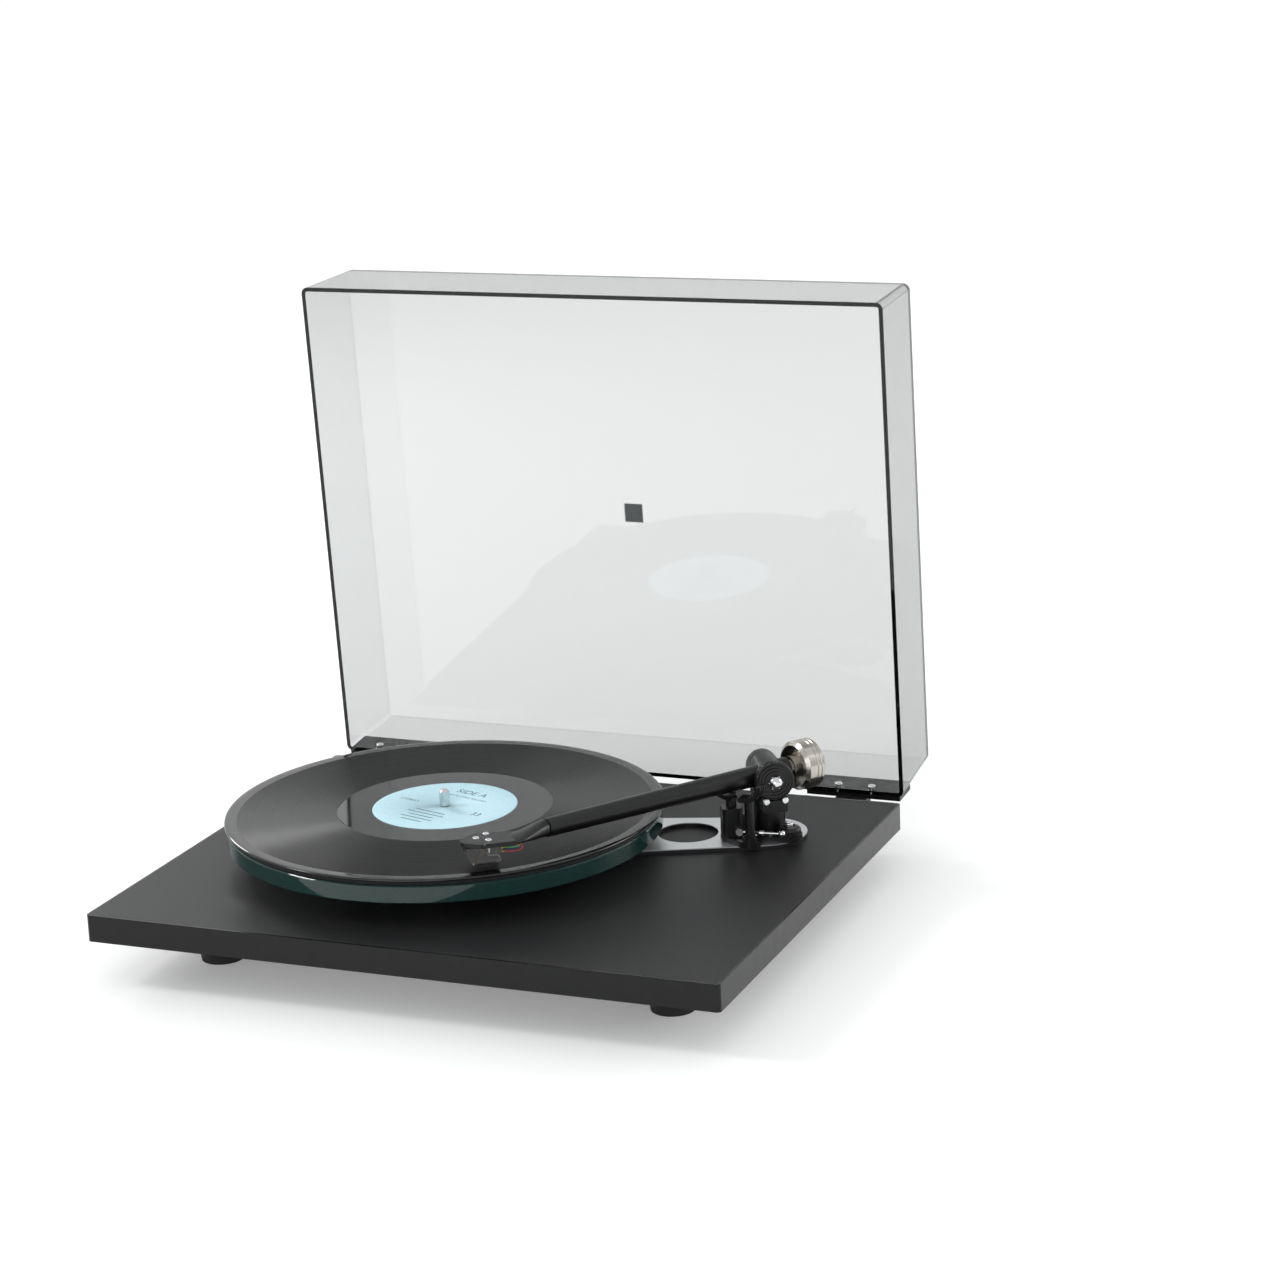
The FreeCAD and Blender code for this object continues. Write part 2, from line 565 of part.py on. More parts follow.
def control_board():
    """Circuit board with a few parts on it."""
    w, d = INLET_W / 2 - 3, INLET_D / 2 - 3
    top = UNDER - CLEAR
    plate = block(INLET.x - w, INLET.x + w, INLET.y - d, INLET.y + 3, top - 1.6, top)
    chip = block(INLET.x - 16, INLET.x - 8, INLET.y - 12, INLET.y - 4, top - 3.0, top - 1.6)
    can = Part.makeCylinder(3, 6, V(INLET.x + 14, INLET.y - 10, top - 7.6))
    return plate.fuse(chip).fuse(can)


def lead_clamp():
    """Clamp for the two signal leads, under the back edge."""
    body = block(CLAMP.x - 12, CLAMP.x + 12, CLAMP.y - 6, CLAMP.y + 6, UNDER - 9, UNDER)
    body = body.makeFillet(2, [e for e in body.Edges if abs(e.tangentAt(0).z) > 0.9])
    for side in (-1, 1):
        start = V(CLAMP.x + side * 6, CLAMP.y - 7, UNDER - 4.5)
        body = body.cut(Part.makeCylinder(2.5, 14, start, V(0, 1, 0)))
    return body


def cover_screw_spots():
    return [MOTOR + heading(30 + 120 * k) * (MOTOR_R + 7.5) for k in range(3)]


def cover_screws():
    return group(fastener(V(s.x, s.y, UNDER - COVER_FLANGE_T), V(0, 0, -1), 2.6, 1.8,
                          COVER_SCREW_R, 9.0) for s in cover_screw_spots())


# ---- lid and its hinges -------------------------------------------------------------------------
def lid_corner(side_x, side_y, inset, height):
    """Corner of the shut lid's outline at a height above its rim."""
    lean = LID_DRAFT * height / LID_H + inset
    return V(side_x * (LID_W / 2 - lean), BACK - LID_D / 2 + side_y * (LID_D / 2 - lean), RIM_Z + height)


def lid_block(inset, low, high, radius):
    """Tapered block with rounded upright edges, all of its walls flat."""
    corners = [(-1, -1), (1, -1), (1, 1), (-1, 1)]
    lower = [lid_corner(x, y, inset, low) for x, y in corners]
    upper = [lid_corner(x, y, inset, high) for x, y in corners]
    loops = [lower[::-1], upper] + [[lower[k], lower[(k + 1) % 4], upper[(k + 1) % 4], upper[k]]
                                    for k in range(4)]
    faces = [Part.Face(Part.makePolygon(loop + loop[:1])) for loop in loops]
    solid = Part.Solid(Part.Shell(faces))
    return solid.makeFillet(radius, [e for e in solid.Edges if abs(e.tangentAt(0).z) > 0.9])


def lid_outer():
    return lid_block(0, 0, LID_H, LID_CORNER_R)


def lid_shell():
    """Thin drafted tray, upside down when shut, with a small moulded square in the panel."""
    inner = lid_block(LID_WALL, -1, LID_H - LID_WALL, LID_CORNER_R - LID_WALL)
    shell = lid_outer().cut(inner)
    mid_y, half = BACK - LID_D / 2, LID_PAD / 2
    recess = block(-half, half, mid_y - half, mid_y + half,
                   RIM_Z + LID_H - 0.6, RIM_Z + LID_H + 1)
    return shell.cut(recess)


def hinge_screw_spots(centre_x):
    return [centre_x + side * HINGE_SCREW_GAP / 2 for side in (-1, 1)]


def hinge_bracket(centre_x):
    """Fixed half: a plate on the back edge with two knuckles."""
    half, gap = HINGE_W / 2, HINGE_KNUCKLE / 2 + CLEAR
    low = UNDER + 0.5
    piece = block(centre_x - half, centre_x + half, BACK, BACK + BRACKET_T, low, HINGE_Z + HINGE_R)
    for x0, x1 in ((-half, -gap), (gap, half)):
        piece = piece.fuse(block(centre_x + x0, centre_x + x1, BACK, HINGE_Y, HINGE_Z - HINGE_R,
                                 HINGE_Z + HINGE_R))
        piece = piece.fuse(rod(HINGE_R, V(centre_x + x0, HINGE_Y, HINGE_Z),
                               V(centre_x + x1, HINGE_Y, HINGE_Z)))
    bore = rod(HINGE_PIN_R, V(centre_x - half + 2, HINGE_Y, HINGE_Z),
               V(centre_x + half - 2, HINGE_Y, HINGE_Z))
    return piece.cut(bore)


def hinge_pin(centre_x):
    half = HINGE_W / 2 - 2
    return rod(HINGE_PIN_R, V(centre_x - half, HINGE_Y, HINGE_Z), V(centre_x + half, HINGE_Y, HINGE_Z))


def hinge_leaf(centre_x):
    """Moving half, shut: a plate on the lid's back wall and an arm down to the pin."""
    half, knuckle = HINGE_W / 2, HINGE_KNUCKLE / 2
    face = BACK - 2
    leaf = block(centre_x - half, centre_x + half, face, BACK + HINGE_LEAF_T, RIM_Z,
                 RIM_Z + HINGE_LEAF_H)
    arm = block(centre_x - knuckle, centre_x + knuckle, BACK + 1, HINGE_Y + HINGE_R - 1,
                HINGE_Z, RIM_Z + 4)
    trim = block(centre_x - knuckle, centre_x + knuckle, BACK - 3, HINGE_Y - HINGE_R, HINGE_Z - 1,
                 RIM_Z)
    barrel = rod(HINGE_R, V(centre_x - knuckle, HINGE_Y, HINGE_Z), V(centre_x + knuckle, HINGE_Y, HINGE_Z))
    bore = rod(HINGE_PIN_R + RUN, V(centre_x - half, HINGE_Y, HINGE_Z), V(centre_x + half, HINGE_Y, HINGE_Z))
    return leaf.fuse(arm.cut(trim)).fuse(barrel).cut(bore).cut(lid_outer())


def lid_screw(x):
    """Screw through the lid's back wall, head on the inside."""
    lean = LID_DRAFT * (HINGE_SCREW_UP + 3) / LID_H
    seat = V(x, BACK - lean - LID_WALL, RIM_Z + HINGE_SCREW_UP)
    return fastener(seat, V(0, -1, 0), 2.8, 2.2, 1.5, LID_WALL + HINGE_LEAF_T - 0.6)


def lid_screw_holes():
    holes = []
    for centre_x in (-HINGE_X, HINGE_X):
        for x in hinge_screw_spots(centre_x):
            holes.append(rod(1.5 + SLIP / 2, V(x, BACK - 8, RIM_Z + HINGE_SCREW_UP),
                             V(x, BACK + HINGE_LEAF_T - 0.55, RIM_Z + HINGE_SCREW_UP)))
    return holes


def drilled(solid, holes):
    """Cut holes one at a time."""
    for hole in holes:
        solid = solid.cut(hole)
    return solid


def bracket_screw_spots():
    """Where the brackets' screws enter the plinth's back edge."""
    return [V(centre_x + side * (HINGE_W / 2 - BRACKET_SCREW_IN), BACK, UNDER + BRACKET_SCREW_UP)
            for centre_x in (-HINGE_X, HINGE_X) for side in (-1, 1)]


def bracket_screws():
    return group(fastener(spot + V(0, BRACKET_T, 0), V(0, 1, 0), 2.2, 1.4, BRACKET_SCREW_R,
                          BRACKET_T + BRACKET_SCREW_REACH) for spot in bracket_screw_spots())


def bracket_screw_holes():
    radius = BRACKET_SCREW_R + SLIP / 2
    inner, outer = V(0, -BRACKET_SCREW_REACH - SLIP / 2, 0), V(0, 2 * BRACKET_T + 1, 0)
    return group(rod(radius, spot + inner, spot + outer) for spot in bracket_screw_spots())


# ---- arm base -----------------------------------------------------------------------------------
def arm_base():
    """Foot plate on the brace, with the web between the lift and the pillar."""
    lift, bias = V(LIFT_X, LIFT_Y, 0), V(BIAS_X, BIAS_Y, 0)
    low, high = BRACE_TOP, BRACE_TOP + BASE_T
    plate = band(PIVOT, PILLAR_R + BASE_RIM, lift, LIFT_SIZE / 2 + 1, low, high)
    plate = plate.fuse(band(PIVOT, PILLAR_R + BASE_RIM, bias, BIAS_R + 1, low, high))
    plate = plate.fuse(band(lift, LIFT_SIZE / 2 + 1, bias, BIAS_R + 1, low, high))
    plate = plate.fuse(band(lift, LIFT_SIZE / 2 + 1, V(REST.x + 2, REST.y + 1, 0), 6.5, low, high))
    web = band(PIVOT, 1.6, lift, 1.6, high, TOP + PILLAR_UP - 3)
    web = web.cut(post(PILLAR_R, PIVOT, low, TOP + PILLAR_UP))
    web = web.cut(lift_body(high))
    holes = [post(BASE_SCREW_R + SLIP / 2, spot, low, high) for spot in base_screw_spots()]
    holes.append(post(PILLAR_R, PIVOT, low - 1, TOP + PILLAR_UP))
    return plate.fuse(web).removeSplitter().cut(group(holes))


def lift_body(low):
    """Rounded square tower, squared to the headshell."""
    half = LIFT_SIZE / 2
    tower = block(-half, half, -half, half, low, TOP + LIFT_UP)
    tower = tower.makeFillet(3, [e for e in tower.Edges if abs(e.tangentAt(0).z) > 0.9])
    tower.rotate(V(0, 0, 0), V(0, 0, 1), HEAD_DIR - 180)
    tower.translate(V(LIFT_X, LIFT_Y, 0))
    return tower


def lift_housing():
    low = BRACE_TOP + BASE_T
    well = post(LIFT_PIN_R + RUN, V(LIFT_X, LIFT_Y, 0), low + 3, TOP + LIFT_UP + 1)
    return lift_body(low).cut(well).cut(lever_bush(LEVER_BUSH_R + RUN))


def lever_swing_axis():
    """Level axis that the cue lever turns about."""
    return heading(LEVER_DIR - 90)


def lever_bush(radius):
    """Short trunnion of the lever inside the lift tower."""
    axis = lever_swing_axis()
    return Part.makeCylinder(radius, LEVER_BUSH_IN + LEVER_BUSH_OUT, LEVER - axis * LEVER_BUSH_IN, axis)


def arm_pillar():
    """Upright tube that carries the arm, threaded below the plate."""
    low = BRACE_LOW - PILLAR_THREAD_LEN
    upper = post(PILLAR_R, PIVOT, BRACE_TOP, TOP + PILLAR_UP)
    lower = post(PILLAR_THREAD_R, PIVOT, low, BRACE_TOP)
    bore = post(YOKE_SHAFT_R + RUN, PIVOT, low + 3, TOP + PILLAR_UP + 1)
    return upper.fuse(lower).cut(bore)


def arm_pillar_nut():
    flats = Part.makePolygon([PIVOT + heading(60 * k) * PILLAR_NUT_R for k in range(7)])
    nut = slab(flats, BRACE_LOW - PILLAR_NUT_T, BRACE_LOW)
    return nut.cut(post(PILLAR_THREAD_R, PIVOT, BRACE_LOW - PILLAR_NUT_T - 1, BRACE_LOW + 1))


def tube_radius(reach):
    return TUBE_BACK_R + (TUBE_HEAD_R - TUBE_BACK_R) * reach / TUBE_LEN


def arm_rest():
    """Ribbed cradle that the parked tube lies in, open upwards and towards the platter."""
    axis_z = TOP + ARM_UP + REST_REACH * math.tan(math.radians(ARM_RISE))
    toward, side = heading(REST_DIR), heading(REST_DIR + 90)
    grip = tube_radius(REST_REACH) + REST_GRIP
    low = axis_z - grip
    inner = grip + REST_OVER / 2
    middle = low + inner

    def cradle(start, outer):
        def at(across, height):
            return start + side * across + V(0, 0, height)

        slant = math.sqrt(0.5)
        round_in = Part.Arc(at(0, low), at(inner * slant, middle - inner * slant),
                            at(inner, middle)).toShape()
        round_out = Part.Arc(at(outer, middle), at(outer * slant, middle - outer * slant),
                             at(0, middle - outer)).toShape()
        corners = [at(0, middle - outer), at(-REST_LIP, middle - outer), at(-REST_LIP, low), at(0, low)]
        lines = [Part.makeLine(a, b) for a, b in zip(corners, corners[1:])]
        tip = Part.makeLine(at(inner, middle), at(outer, middle))
        return Part.Face(Part.Wire(lines + [round_in, tip, round_out]))

    start = REST - toward * REST_DEEP / 2
    outer = inner + REST_WALL
    solids = [cradle(start, outer).extrude(toward * REST_DEEP)]
    for k in range(3):
        rib = start + toward * (REST_DEEP * (k + 0.5) / 3 - REST_RIB)
        solids.append(cradle(rib, outer + REST_RIB).extrude(toward * REST_RIB * 2))
    foot_z = BRACE_TOP + BASE_T
    solids.append(post(3.4, REST + side * 2.0, foot_z, low - REST_WALL + 0.8))
    solids.append(post(5.0, REST + side * 2.0, foot_z, foot_z + 3))
    return solids[0].fuse(solids[1:]).removeSplitter()


def bias_housing():
    low = BRACE_TOP + BASE_T
    body = post(BIAS_R, V(BIAS_X, BIAS_Y, 0), low, TOP + BIAS_UP)
    body = body.makeFillet(2.2, [e for e in body.Edges if e.BoundBox.ZMin > TOP + BIAS_UP - 0.01])
    slot = bias_slot(1.2 + SLIP, low + 3, TOP + BIAS_UP + 1)
    return body.cut(slot)


def bias_slot(half_width, low, high):
    """Slot that the bias knob's stem runs in."""
    centre = V(BIAS_X, BIAS_Y, 0)
    reach = heading(HEAD_DIR) * BIAS_TRAVEL
    return band(centre - reach, half_width, centre + reach, half_width, low, high)


def bias_slider():
    centre = V(BIAS_X, BIAS_Y, 0)
    stem = post(1.2, centre, BRACE_TOP + BASE_T + 4, TOP + BIAS_UP + 0.6)
    knob = post(2.8, centre, TOP + BIAS_UP + CLEAR, TOP + BIAS_UP + 2.8)
    knob = knob.makeFillet(0.9, [e for e in knob.Edges if e.BoundBox.ZMin > TOP + BIAS_UP + 2.7])
    return stem.fuse(knob)


def base_screws():
    """Two screws that hold the foot plate."""
    seat = BRACE_TOP + BASE_T
    return group(fastener(V(s.x, s.y, seat), V(0, 0, 1), 2.4, 1.6, BASE_SCREW_R, BASE_T - 0.2)
                 for s in base_screw_spots())


def base_screw_spots():
    return [V(LIFT_X + 16, LIFT_Y - 1, 0), V(PIVOT_X + 6, PIVOT_Y - 16, 0)]


# ---- lift ---------------------------------------------------------------------------------------
def lift_platform():
    """Curved bar under the tube, on a pin that runs in the tower."""
    tube_low = AXIS_Z + PLATFORM_R * math.tan(math.radians(ARM_RISE)) - tube_radius(PLATFORM_R)
    high = tube_low - PLATFORM_GAP
    low = high - PLATFORM_T
    inner, outer = PLATFORM_R - PLATFORM_W / 2, PLATFORM_R + PLATFORM_W / 2
    ring = Part.makeCylinder(outer, PLATFORM_T, V(PIVOT.x, PIVOT.y, low), V(0, 0, 1),
                             PLATFORM_TO - PLATFORM_FROM)
    ring = ring.cut(Part.makeCylinder(inner, PLATFORM_T, V(PIVOT.x, PIVOT.y, low)))
    ring.rotate(PIVOT, V(0, 0, 1), PLATFORM_FROM)
    pin_at = V(LIFT_X, LIFT_Y, 0)
    outward = (pin_at - PIVOT).normalize()
    lug = band(pin_at, 3.6, PIVOT + outward * PLATFORM_R, 2.4, low, high)
    pin = post(LIFT_PIN_R, pin_at, BRACE_TOP + BASE_T + 3.6, low)
    collar = post(3.6, pin_at, TOP + LIFT_UP + CLEAR, low)
    return ring.fuse([lug, collar, pin]).removeSplitter()


def cue_lever():
    """Thin rod with a ball end, lying along the base when the lift is down."""
    tip = LEVER + heading(LEVER_DIR) * LEVER_LEN
    bar = rod(LEVER_R, LEVER, tip)
    ball = Part.makeSphere(LEVER_BALL_R, tip)
    knob = rod(1.9, LEVER + heading(LEVER_DIR) * 14, LEVER + heading(LEVER_DIR) * 17)
    bush = lever_bush(LEVER_BUSH_R)
    return bar.fuse(ball).fuse(knob).fuse(bush)


# ---- yoke ---------------------------------------------------------------------------------------
def cheek(left, right, radius):
    """One upright cheek of the yoke with its round boss."""
    centre = yoke_point(0, left, ARM_UP)
    boss = Part.makeCylinder(radius, right - left, centre, ASIDE)
    foot = yoke_block(-radius * 0.62, radius * 0.62, left, right, PILLAR_UP + CLEAR, ARM_UP)
    return boss.fuse(foot)


def dial_rings():
    """Turned grooves on the dial's face."""
    rings = []
    face = yoke_point(0, BOSS_OUT - 0.8, ARM_UP)
    for radius in (7.4, 9.6, 11.8):
        outer = Part.makeCylinder(radius + 0.55, 1.0, face, ASIDE)
        rings.append(outer.cut(Part.makeCylinder(radius - 0.55, 1.0, face, ASIDE)))
    return group(rings)


def arm_yoke():
    """Cradle on an upright shaft, with the tilt axle's two bosses."""
    bridge = yoke_block(-YOKE_HALF, YOKE_HALF, -BOSS_OUT, BOSS_OUT, PILLAR_UP + CLEAR, YOKE_FLOOR)
    near = cheek(BOSS_IN, BOSS_OUT - DIAL_T - CLEAR, BOSS_R)
    near = near.fuse(yoke_block(-YOKE_HALF, YOKE_HALF, BOSS_IN, BOSS_OUT, PILLAR_UP + CLEAR,
                                ARM_UP - DIAL_R - CLEAR))
    frame = bridge.fuse(near).fuse(cheek(-BOSS_OUT, -BOSS_IN, FAR_BOSS_R))
    hub = post(PILLAR_R + 0.6, PIVOT, TOP + PILLAR_UP + CLEAR, TOP + YOKE_FLOOR)
    shaft = post(YOKE_SHAFT_R, PIVOT, BRACE_LOW - 5.5, TOP + PILLAR_UP + CLEAR + 1)
    axle_hole = rod(AXLE_R, yoke_point(0, -BOSS_OUT - 1, ARM_UP), yoke_point(0, BOSS_OUT + 1, ARM_UP))
    screw_holes = [rod(YOKE_SCREW_R + SLIP / 2, spot + ASIDE, spot - ASIDE * 5.2)
                   for spot in yoke_screw_spots()]
    frame = frame.fuse([hub, shaft]).removeSplitter()
    return frame.cut(group([axle_hole] + screw_holes))


def tilt_axle():
    return rod(AXLE_R, yoke_point(0, -BOSS_OUT, ARM_UP), yoke_point(0, BOSS_OUT + CLEAR, ARM_UP))


def axle_nut():
    """Domed six-sided nut outside the dial."""
    face = yoke_point(0, BOSS_OUT + CLEAR, ARM_UP)
    ring = [face + AHEAD * (4.9 * math.cos(math.radians(a))) + V(0, 0, 4.9 * math.sin(math.radians(a)))
            for a in range(0, 361, 60)]
    nut = Part.Face(Part.makePolygon(ring)).extrude(ASIDE * 3.0)
    dome = Part.makeSphere(4.6, face + ASIDE * 2.2)
    keep = Part.makeCylinder(4.6, 6, face + ASIDE * 0.5, ASIDE)
    return nut.fuse(dome.common(keep)).removeSplitter()


def yoke_screws():
    return group(fastener(spot, ASIDE, 2.4, 2.0, YOKE_SCREW_R, 5.0) for spot in yoke_screw_spots())


def yoke_screw_spots():
    return [yoke_point(side * YOKE_SCREW_OUT, BOSS_OUT, YOKE_SCREW_UP) for side in (-1, 1)]


def tracking_dial():
    """Tracking-force dial: a ringed wheel on the near end of the tilt axle."""
    start = yoke_point(0, BOSS_OUT - DIAL_T, ARM_UP)
    wheel = Part.makeCylinder(DIAL_R, DIAL_T, start, ASIDE)
    wheel = wheel.makeChamfer(0.6, [e for e in wheel.Edges if e.Closed])
    flutes = []
    for k in range(30):
        angle = math.radians(12 * k)
        rim = start + AHEAD * (DIAL_R * math.cos(angle)) + V(0, 0, DIAL_R * math.sin(angle))
        flutes.append(Part.makeCylinder(0.45, DIAL_T, rim, ASIDE))
    bore = Part.makeCylinder(AXLE_R + RUN, DIAL_T + 2, start - ASIDE, ASIDE)
    return wheel.cut(group(flutes)).cut(dial_rings()).cut(bore)


# ---- tonearm ------------------------------------------------------------------------------------
def ellipse_wire(centre, normal, across, half_w, half_h):
    """Closed ellipse; half_w lies along across."""
    up = normal.cross(across).normalize()
    major, minor = (half_w, half_h) if half_w >= half_h else (half_h, half_w)
    first = across if half_w >= half_h else up
    second = normal.cross(first).normalize()
    curve = Part.Ellipse(centre + first * major, centre + second * minor, centre)
    return Part.Wire(curve.toShape())




def neck():
    """Round tube that flattens and bends into the headshell."""
    side = TUBE.cross(V(0, 0, 1)).normalize()
    bend = heading((ARM_DIR + HEAD_DIR) / 2)
    bend_side = bend.cross(V(0, 0, 1)).normalize()
    head_side = AHEAD.cross(V(0, 0, 1)).normalize()
    flat = TOP + HEAD_UP + HEAD_T / 2
    first = ellipse_wire(tube_point(TUBE_LEN - 5), TUBE, side, TUBE_HEAD_R - 0.5, TUBE_HEAD_R - 0.6)
    end = head_point(NECK_BACK, 0, HEAD_UP + HEAD_T / 2)
    start = tube_point(TUBE_LEN)
    knee = (start + end) * 0.5 + (TUBE - AHEAD) * 2.0
    second = ellipse_wire(V(knee.x, knee.y, flat - 0.6), bend, bend_side, 8.2, 4.2)
    third = ellipse_wire(end, AHEAD, head_side, HEAD_HALF_W - 1.0, HEAD_T / 2 + 0.4)
    last = ellipse_wire(end + AHEAD * 5, AHEAD, head_side, HEAD_HALF_W - 1.2, HEAD_T / 2 - 0.3)
    return Part.makeLoft([first, second, third, last], True, False)


def head_plate():
    """Flat headshell with a round nose, two long slots and the cartridge holes."""
    w, nose = HEAD_HALF_W, HEAD_NOSE
    low = HEAD_UP
    back = NECK_BACK + 0.5
    tip = CART_FRONT + 2.5
    r = w - nose + 1.5

    def at(ahead, aside):
        return head_point(ahead, aside, low)

    wire = Part.Wire([Part.makeLine(at(back, -w + 1), at(tip - 12, -w)),
                      Part.makeLine(at(tip - 12, -w), at(tip - r, -nose)),
                      Part.Arc(at(tip - r, -nose), at(tip, 0), at(tip - r, nose)).toShape(),
                      Part.makeLine(at(tip - r, nose), at(tip - 12, w)),
                      Part.makeLine(at(tip - 12, w), at(back, w - 1)),
                      Part.makeLine(at(back, w - 1), at(back, -w + 1))])
    plate = Part.Face(wire).extrude(V(0, 0, HEAD_T))
    for side in (-1, 1):
        slot = band(head_point(-16, side * 4.5, 0), HEAD_SLOT_R, head_point(-22, side * 4.5, 0),
                    HEAD_SLOT_R, HEAD_LOW - 1, HEAD_LOW + HEAD_T + 1)
        plate = plate.cut(slot)
    for ahead, aside in CART_HOLES:
        plate = plate.cut(post(CART_SHANK_R + SLIP / 2, head_point(ahead, aside, 0), HEAD_LOW - 1,
                               HEAD_LOW + HEAD_T + 1))
    return plate




def arm_tube():
    """One casting: hub round the tilt axle, tapered tube, neck and headshell."""
    start = V(PIVOT.x, PIVOT.y, AXIS_Z)
    tube = Part.makeCone(TUBE_BACK_R, TUBE_HEAD_R, TUBE_LEN, start, TUBE)
    sleeve = Part.makeCylinder(TAIL_R, TAIL_LEN, start, TUBE * -1)
    hub = Part.makeCylinder(ARM_HUB_R, 2 * ARM_HUB_HALF, start - ASIDE * ARM_HUB_HALF, ASIDE)
    lift = Part.makeCylinder(1.1, 9.0, head_point(-6, HEAD_HALF_W - 2, HEAD_UP + HEAD_T / 2),
                             ASIDE + V(0, 0, 0.25))
    casting = tube.fuse([sleeve, hub, neck(), head_plate(), lift]).removeSplitter()
    bore = rod(AXLE_R + RUN, start - ASIDE * (ARM_HUB_HALF + 1), start + ASIDE * (ARM_HUB_HALF + 1))
    return casting.cut(bore)


def tail_stub():
    start = V(PIVOT.x, PIVOT.y, AXIS_Z) - TUBE * TAIL_LEN
    return Part.makeCylinder(STUB_R, STUB_LEN - TAIL_LEN, start, TUBE * -1)


def counterweight():
    """Stainless weight with a collar, a dished and chamfered front and two turned grooves."""
    face = WEIGHT_COLLAR_LEN
    total = face + WEIGHT_CONE_LEN + WEIGHT_LEN
    bore = STUB_R + RUN
    profile = [(bore, 0), (WEIGHT_COLLAR_R, 0), (WEIGHT_COLLAR_R, face + WEIGHT_DISH),
               (WEIGHT_R - WEIGHT_LIP, face), (WEIGHT_R, face + WEIGHT_CONE_LEN)]
    for share in (0.50, 0.74):
        groove = face + WEIGHT_CONE_LEN + WEIGHT_LEN * share
        profile += [(WEIGHT_R, groove - 0.35), (WEIGHT_R - 0.45, groove), (WEIGHT_R, groove + 0.35)]
    profile += [(WEIGHT_R, total - 0.8), (WEIGHT_R - 0.8, total), (bore, total)]
    points = [V(r, 0, z) for r, z in profile]
    body = Part.Face(Part.makePolygon(points + points[:1])).revolve(V(0, 0, 0), V(0, 0, 1), 360)
    body.Placement = FreeCAD.Placement(tube_point(-WEIGHT_AT), FreeCAD.Rotation(V(0, 0, 1), TUBE * -1))
    return body


def cartridge_body():
    """Block under the headshell with a sloping nose and a narrower stylus holder."""
    half = CART_W / 2
    body = head_block(CART_BACK, CART_FRONT, -half, half, CART_LOW + 2.5, HEAD_UP)
    wedge = [head_point(CART_FRONT + 1, -half - 1, HEAD_UP - 3),
             head_point(CART_FRONT - 5, -half - 1, CART_LOW),
             head_point(CART_FRONT + 1, -half - 1, CART_LOW)]
    body = body.cut(Part.Face(Part.makePolygon(wedge + wedge[:1])).extrude(ASIDE * (CART_W + 2)))
    holder = head_block(CART_BACK + 2, CART_FRONT - 7, -half + 3, half - 3, CART_LOW, CART_LOW + 2.5)
    for ahead, aside in CART_HOLES:
        body = body.cut(post(CART_SHANK_R + SLIP / 2, head_point(ahead, aside, 0),
                             HEAD_LOW - CART_SHANK_LEN - 0.2, HEAD_LOW + 1))
    return body.fuse(holder).removeSplitter()


def cartridge_screws():
    seat = HEAD_UP + HEAD_T
    return group(fastener(head_point(a, b, seat), V(0, 0, 1), 2.1, 1.8, CART_SHANK_R,
                          HEAD_T + CART_SHANK_LEN) for a, b in CART_HOLES)


def cartridge_stylus():
    """Cantilever and diamond, just above the groove."""
    root = head_point(CART_FRONT - 7 + CLEAR, 0, CART_LOW + 0.9)
    tip_up = RECORD_TOP - TOP + STYLUS_GAP
    end = head_point(0.4, 0, tip_up + 0.9)
    bar = rod(0.35, root, end)
    diamond = Part.makeCone(0.02, 0.45, 1.1, head_point(0, 0, tip_up), V(0, 0, 1))
    return bar.fuse(diamond)




def cartridge_pins():
    return group(rod(0.55, head_point(CART_BACK, aside, up), head_point(CART_BACK - PIN_LEN, aside, up))
                 for aside, up in PIN_SPOTS)


def cartridge_leads():
    """Four thin leads from the pins back to the neck."""
    leads = []
    for index, (aside, up) in enumerate(PIN_SPOTS):
        start = head_point(CART_BACK - PIN_LEN - SLIP * 2, aside, up)
        bend = head_point(CART_BACK - 10 - index % 2, aside + 1.5, up - 0.6)
        end = head_point(CART_BACK - 13, aside * 0.6 + 1.0, HEAD_UP - 1.9)
        lead = rod(0.4, start, bend).fuse(Part.makeSphere(0.4, bend)).fuse(rod(0.4, bend, end))
        leads.append(lead)
    return group(leads)


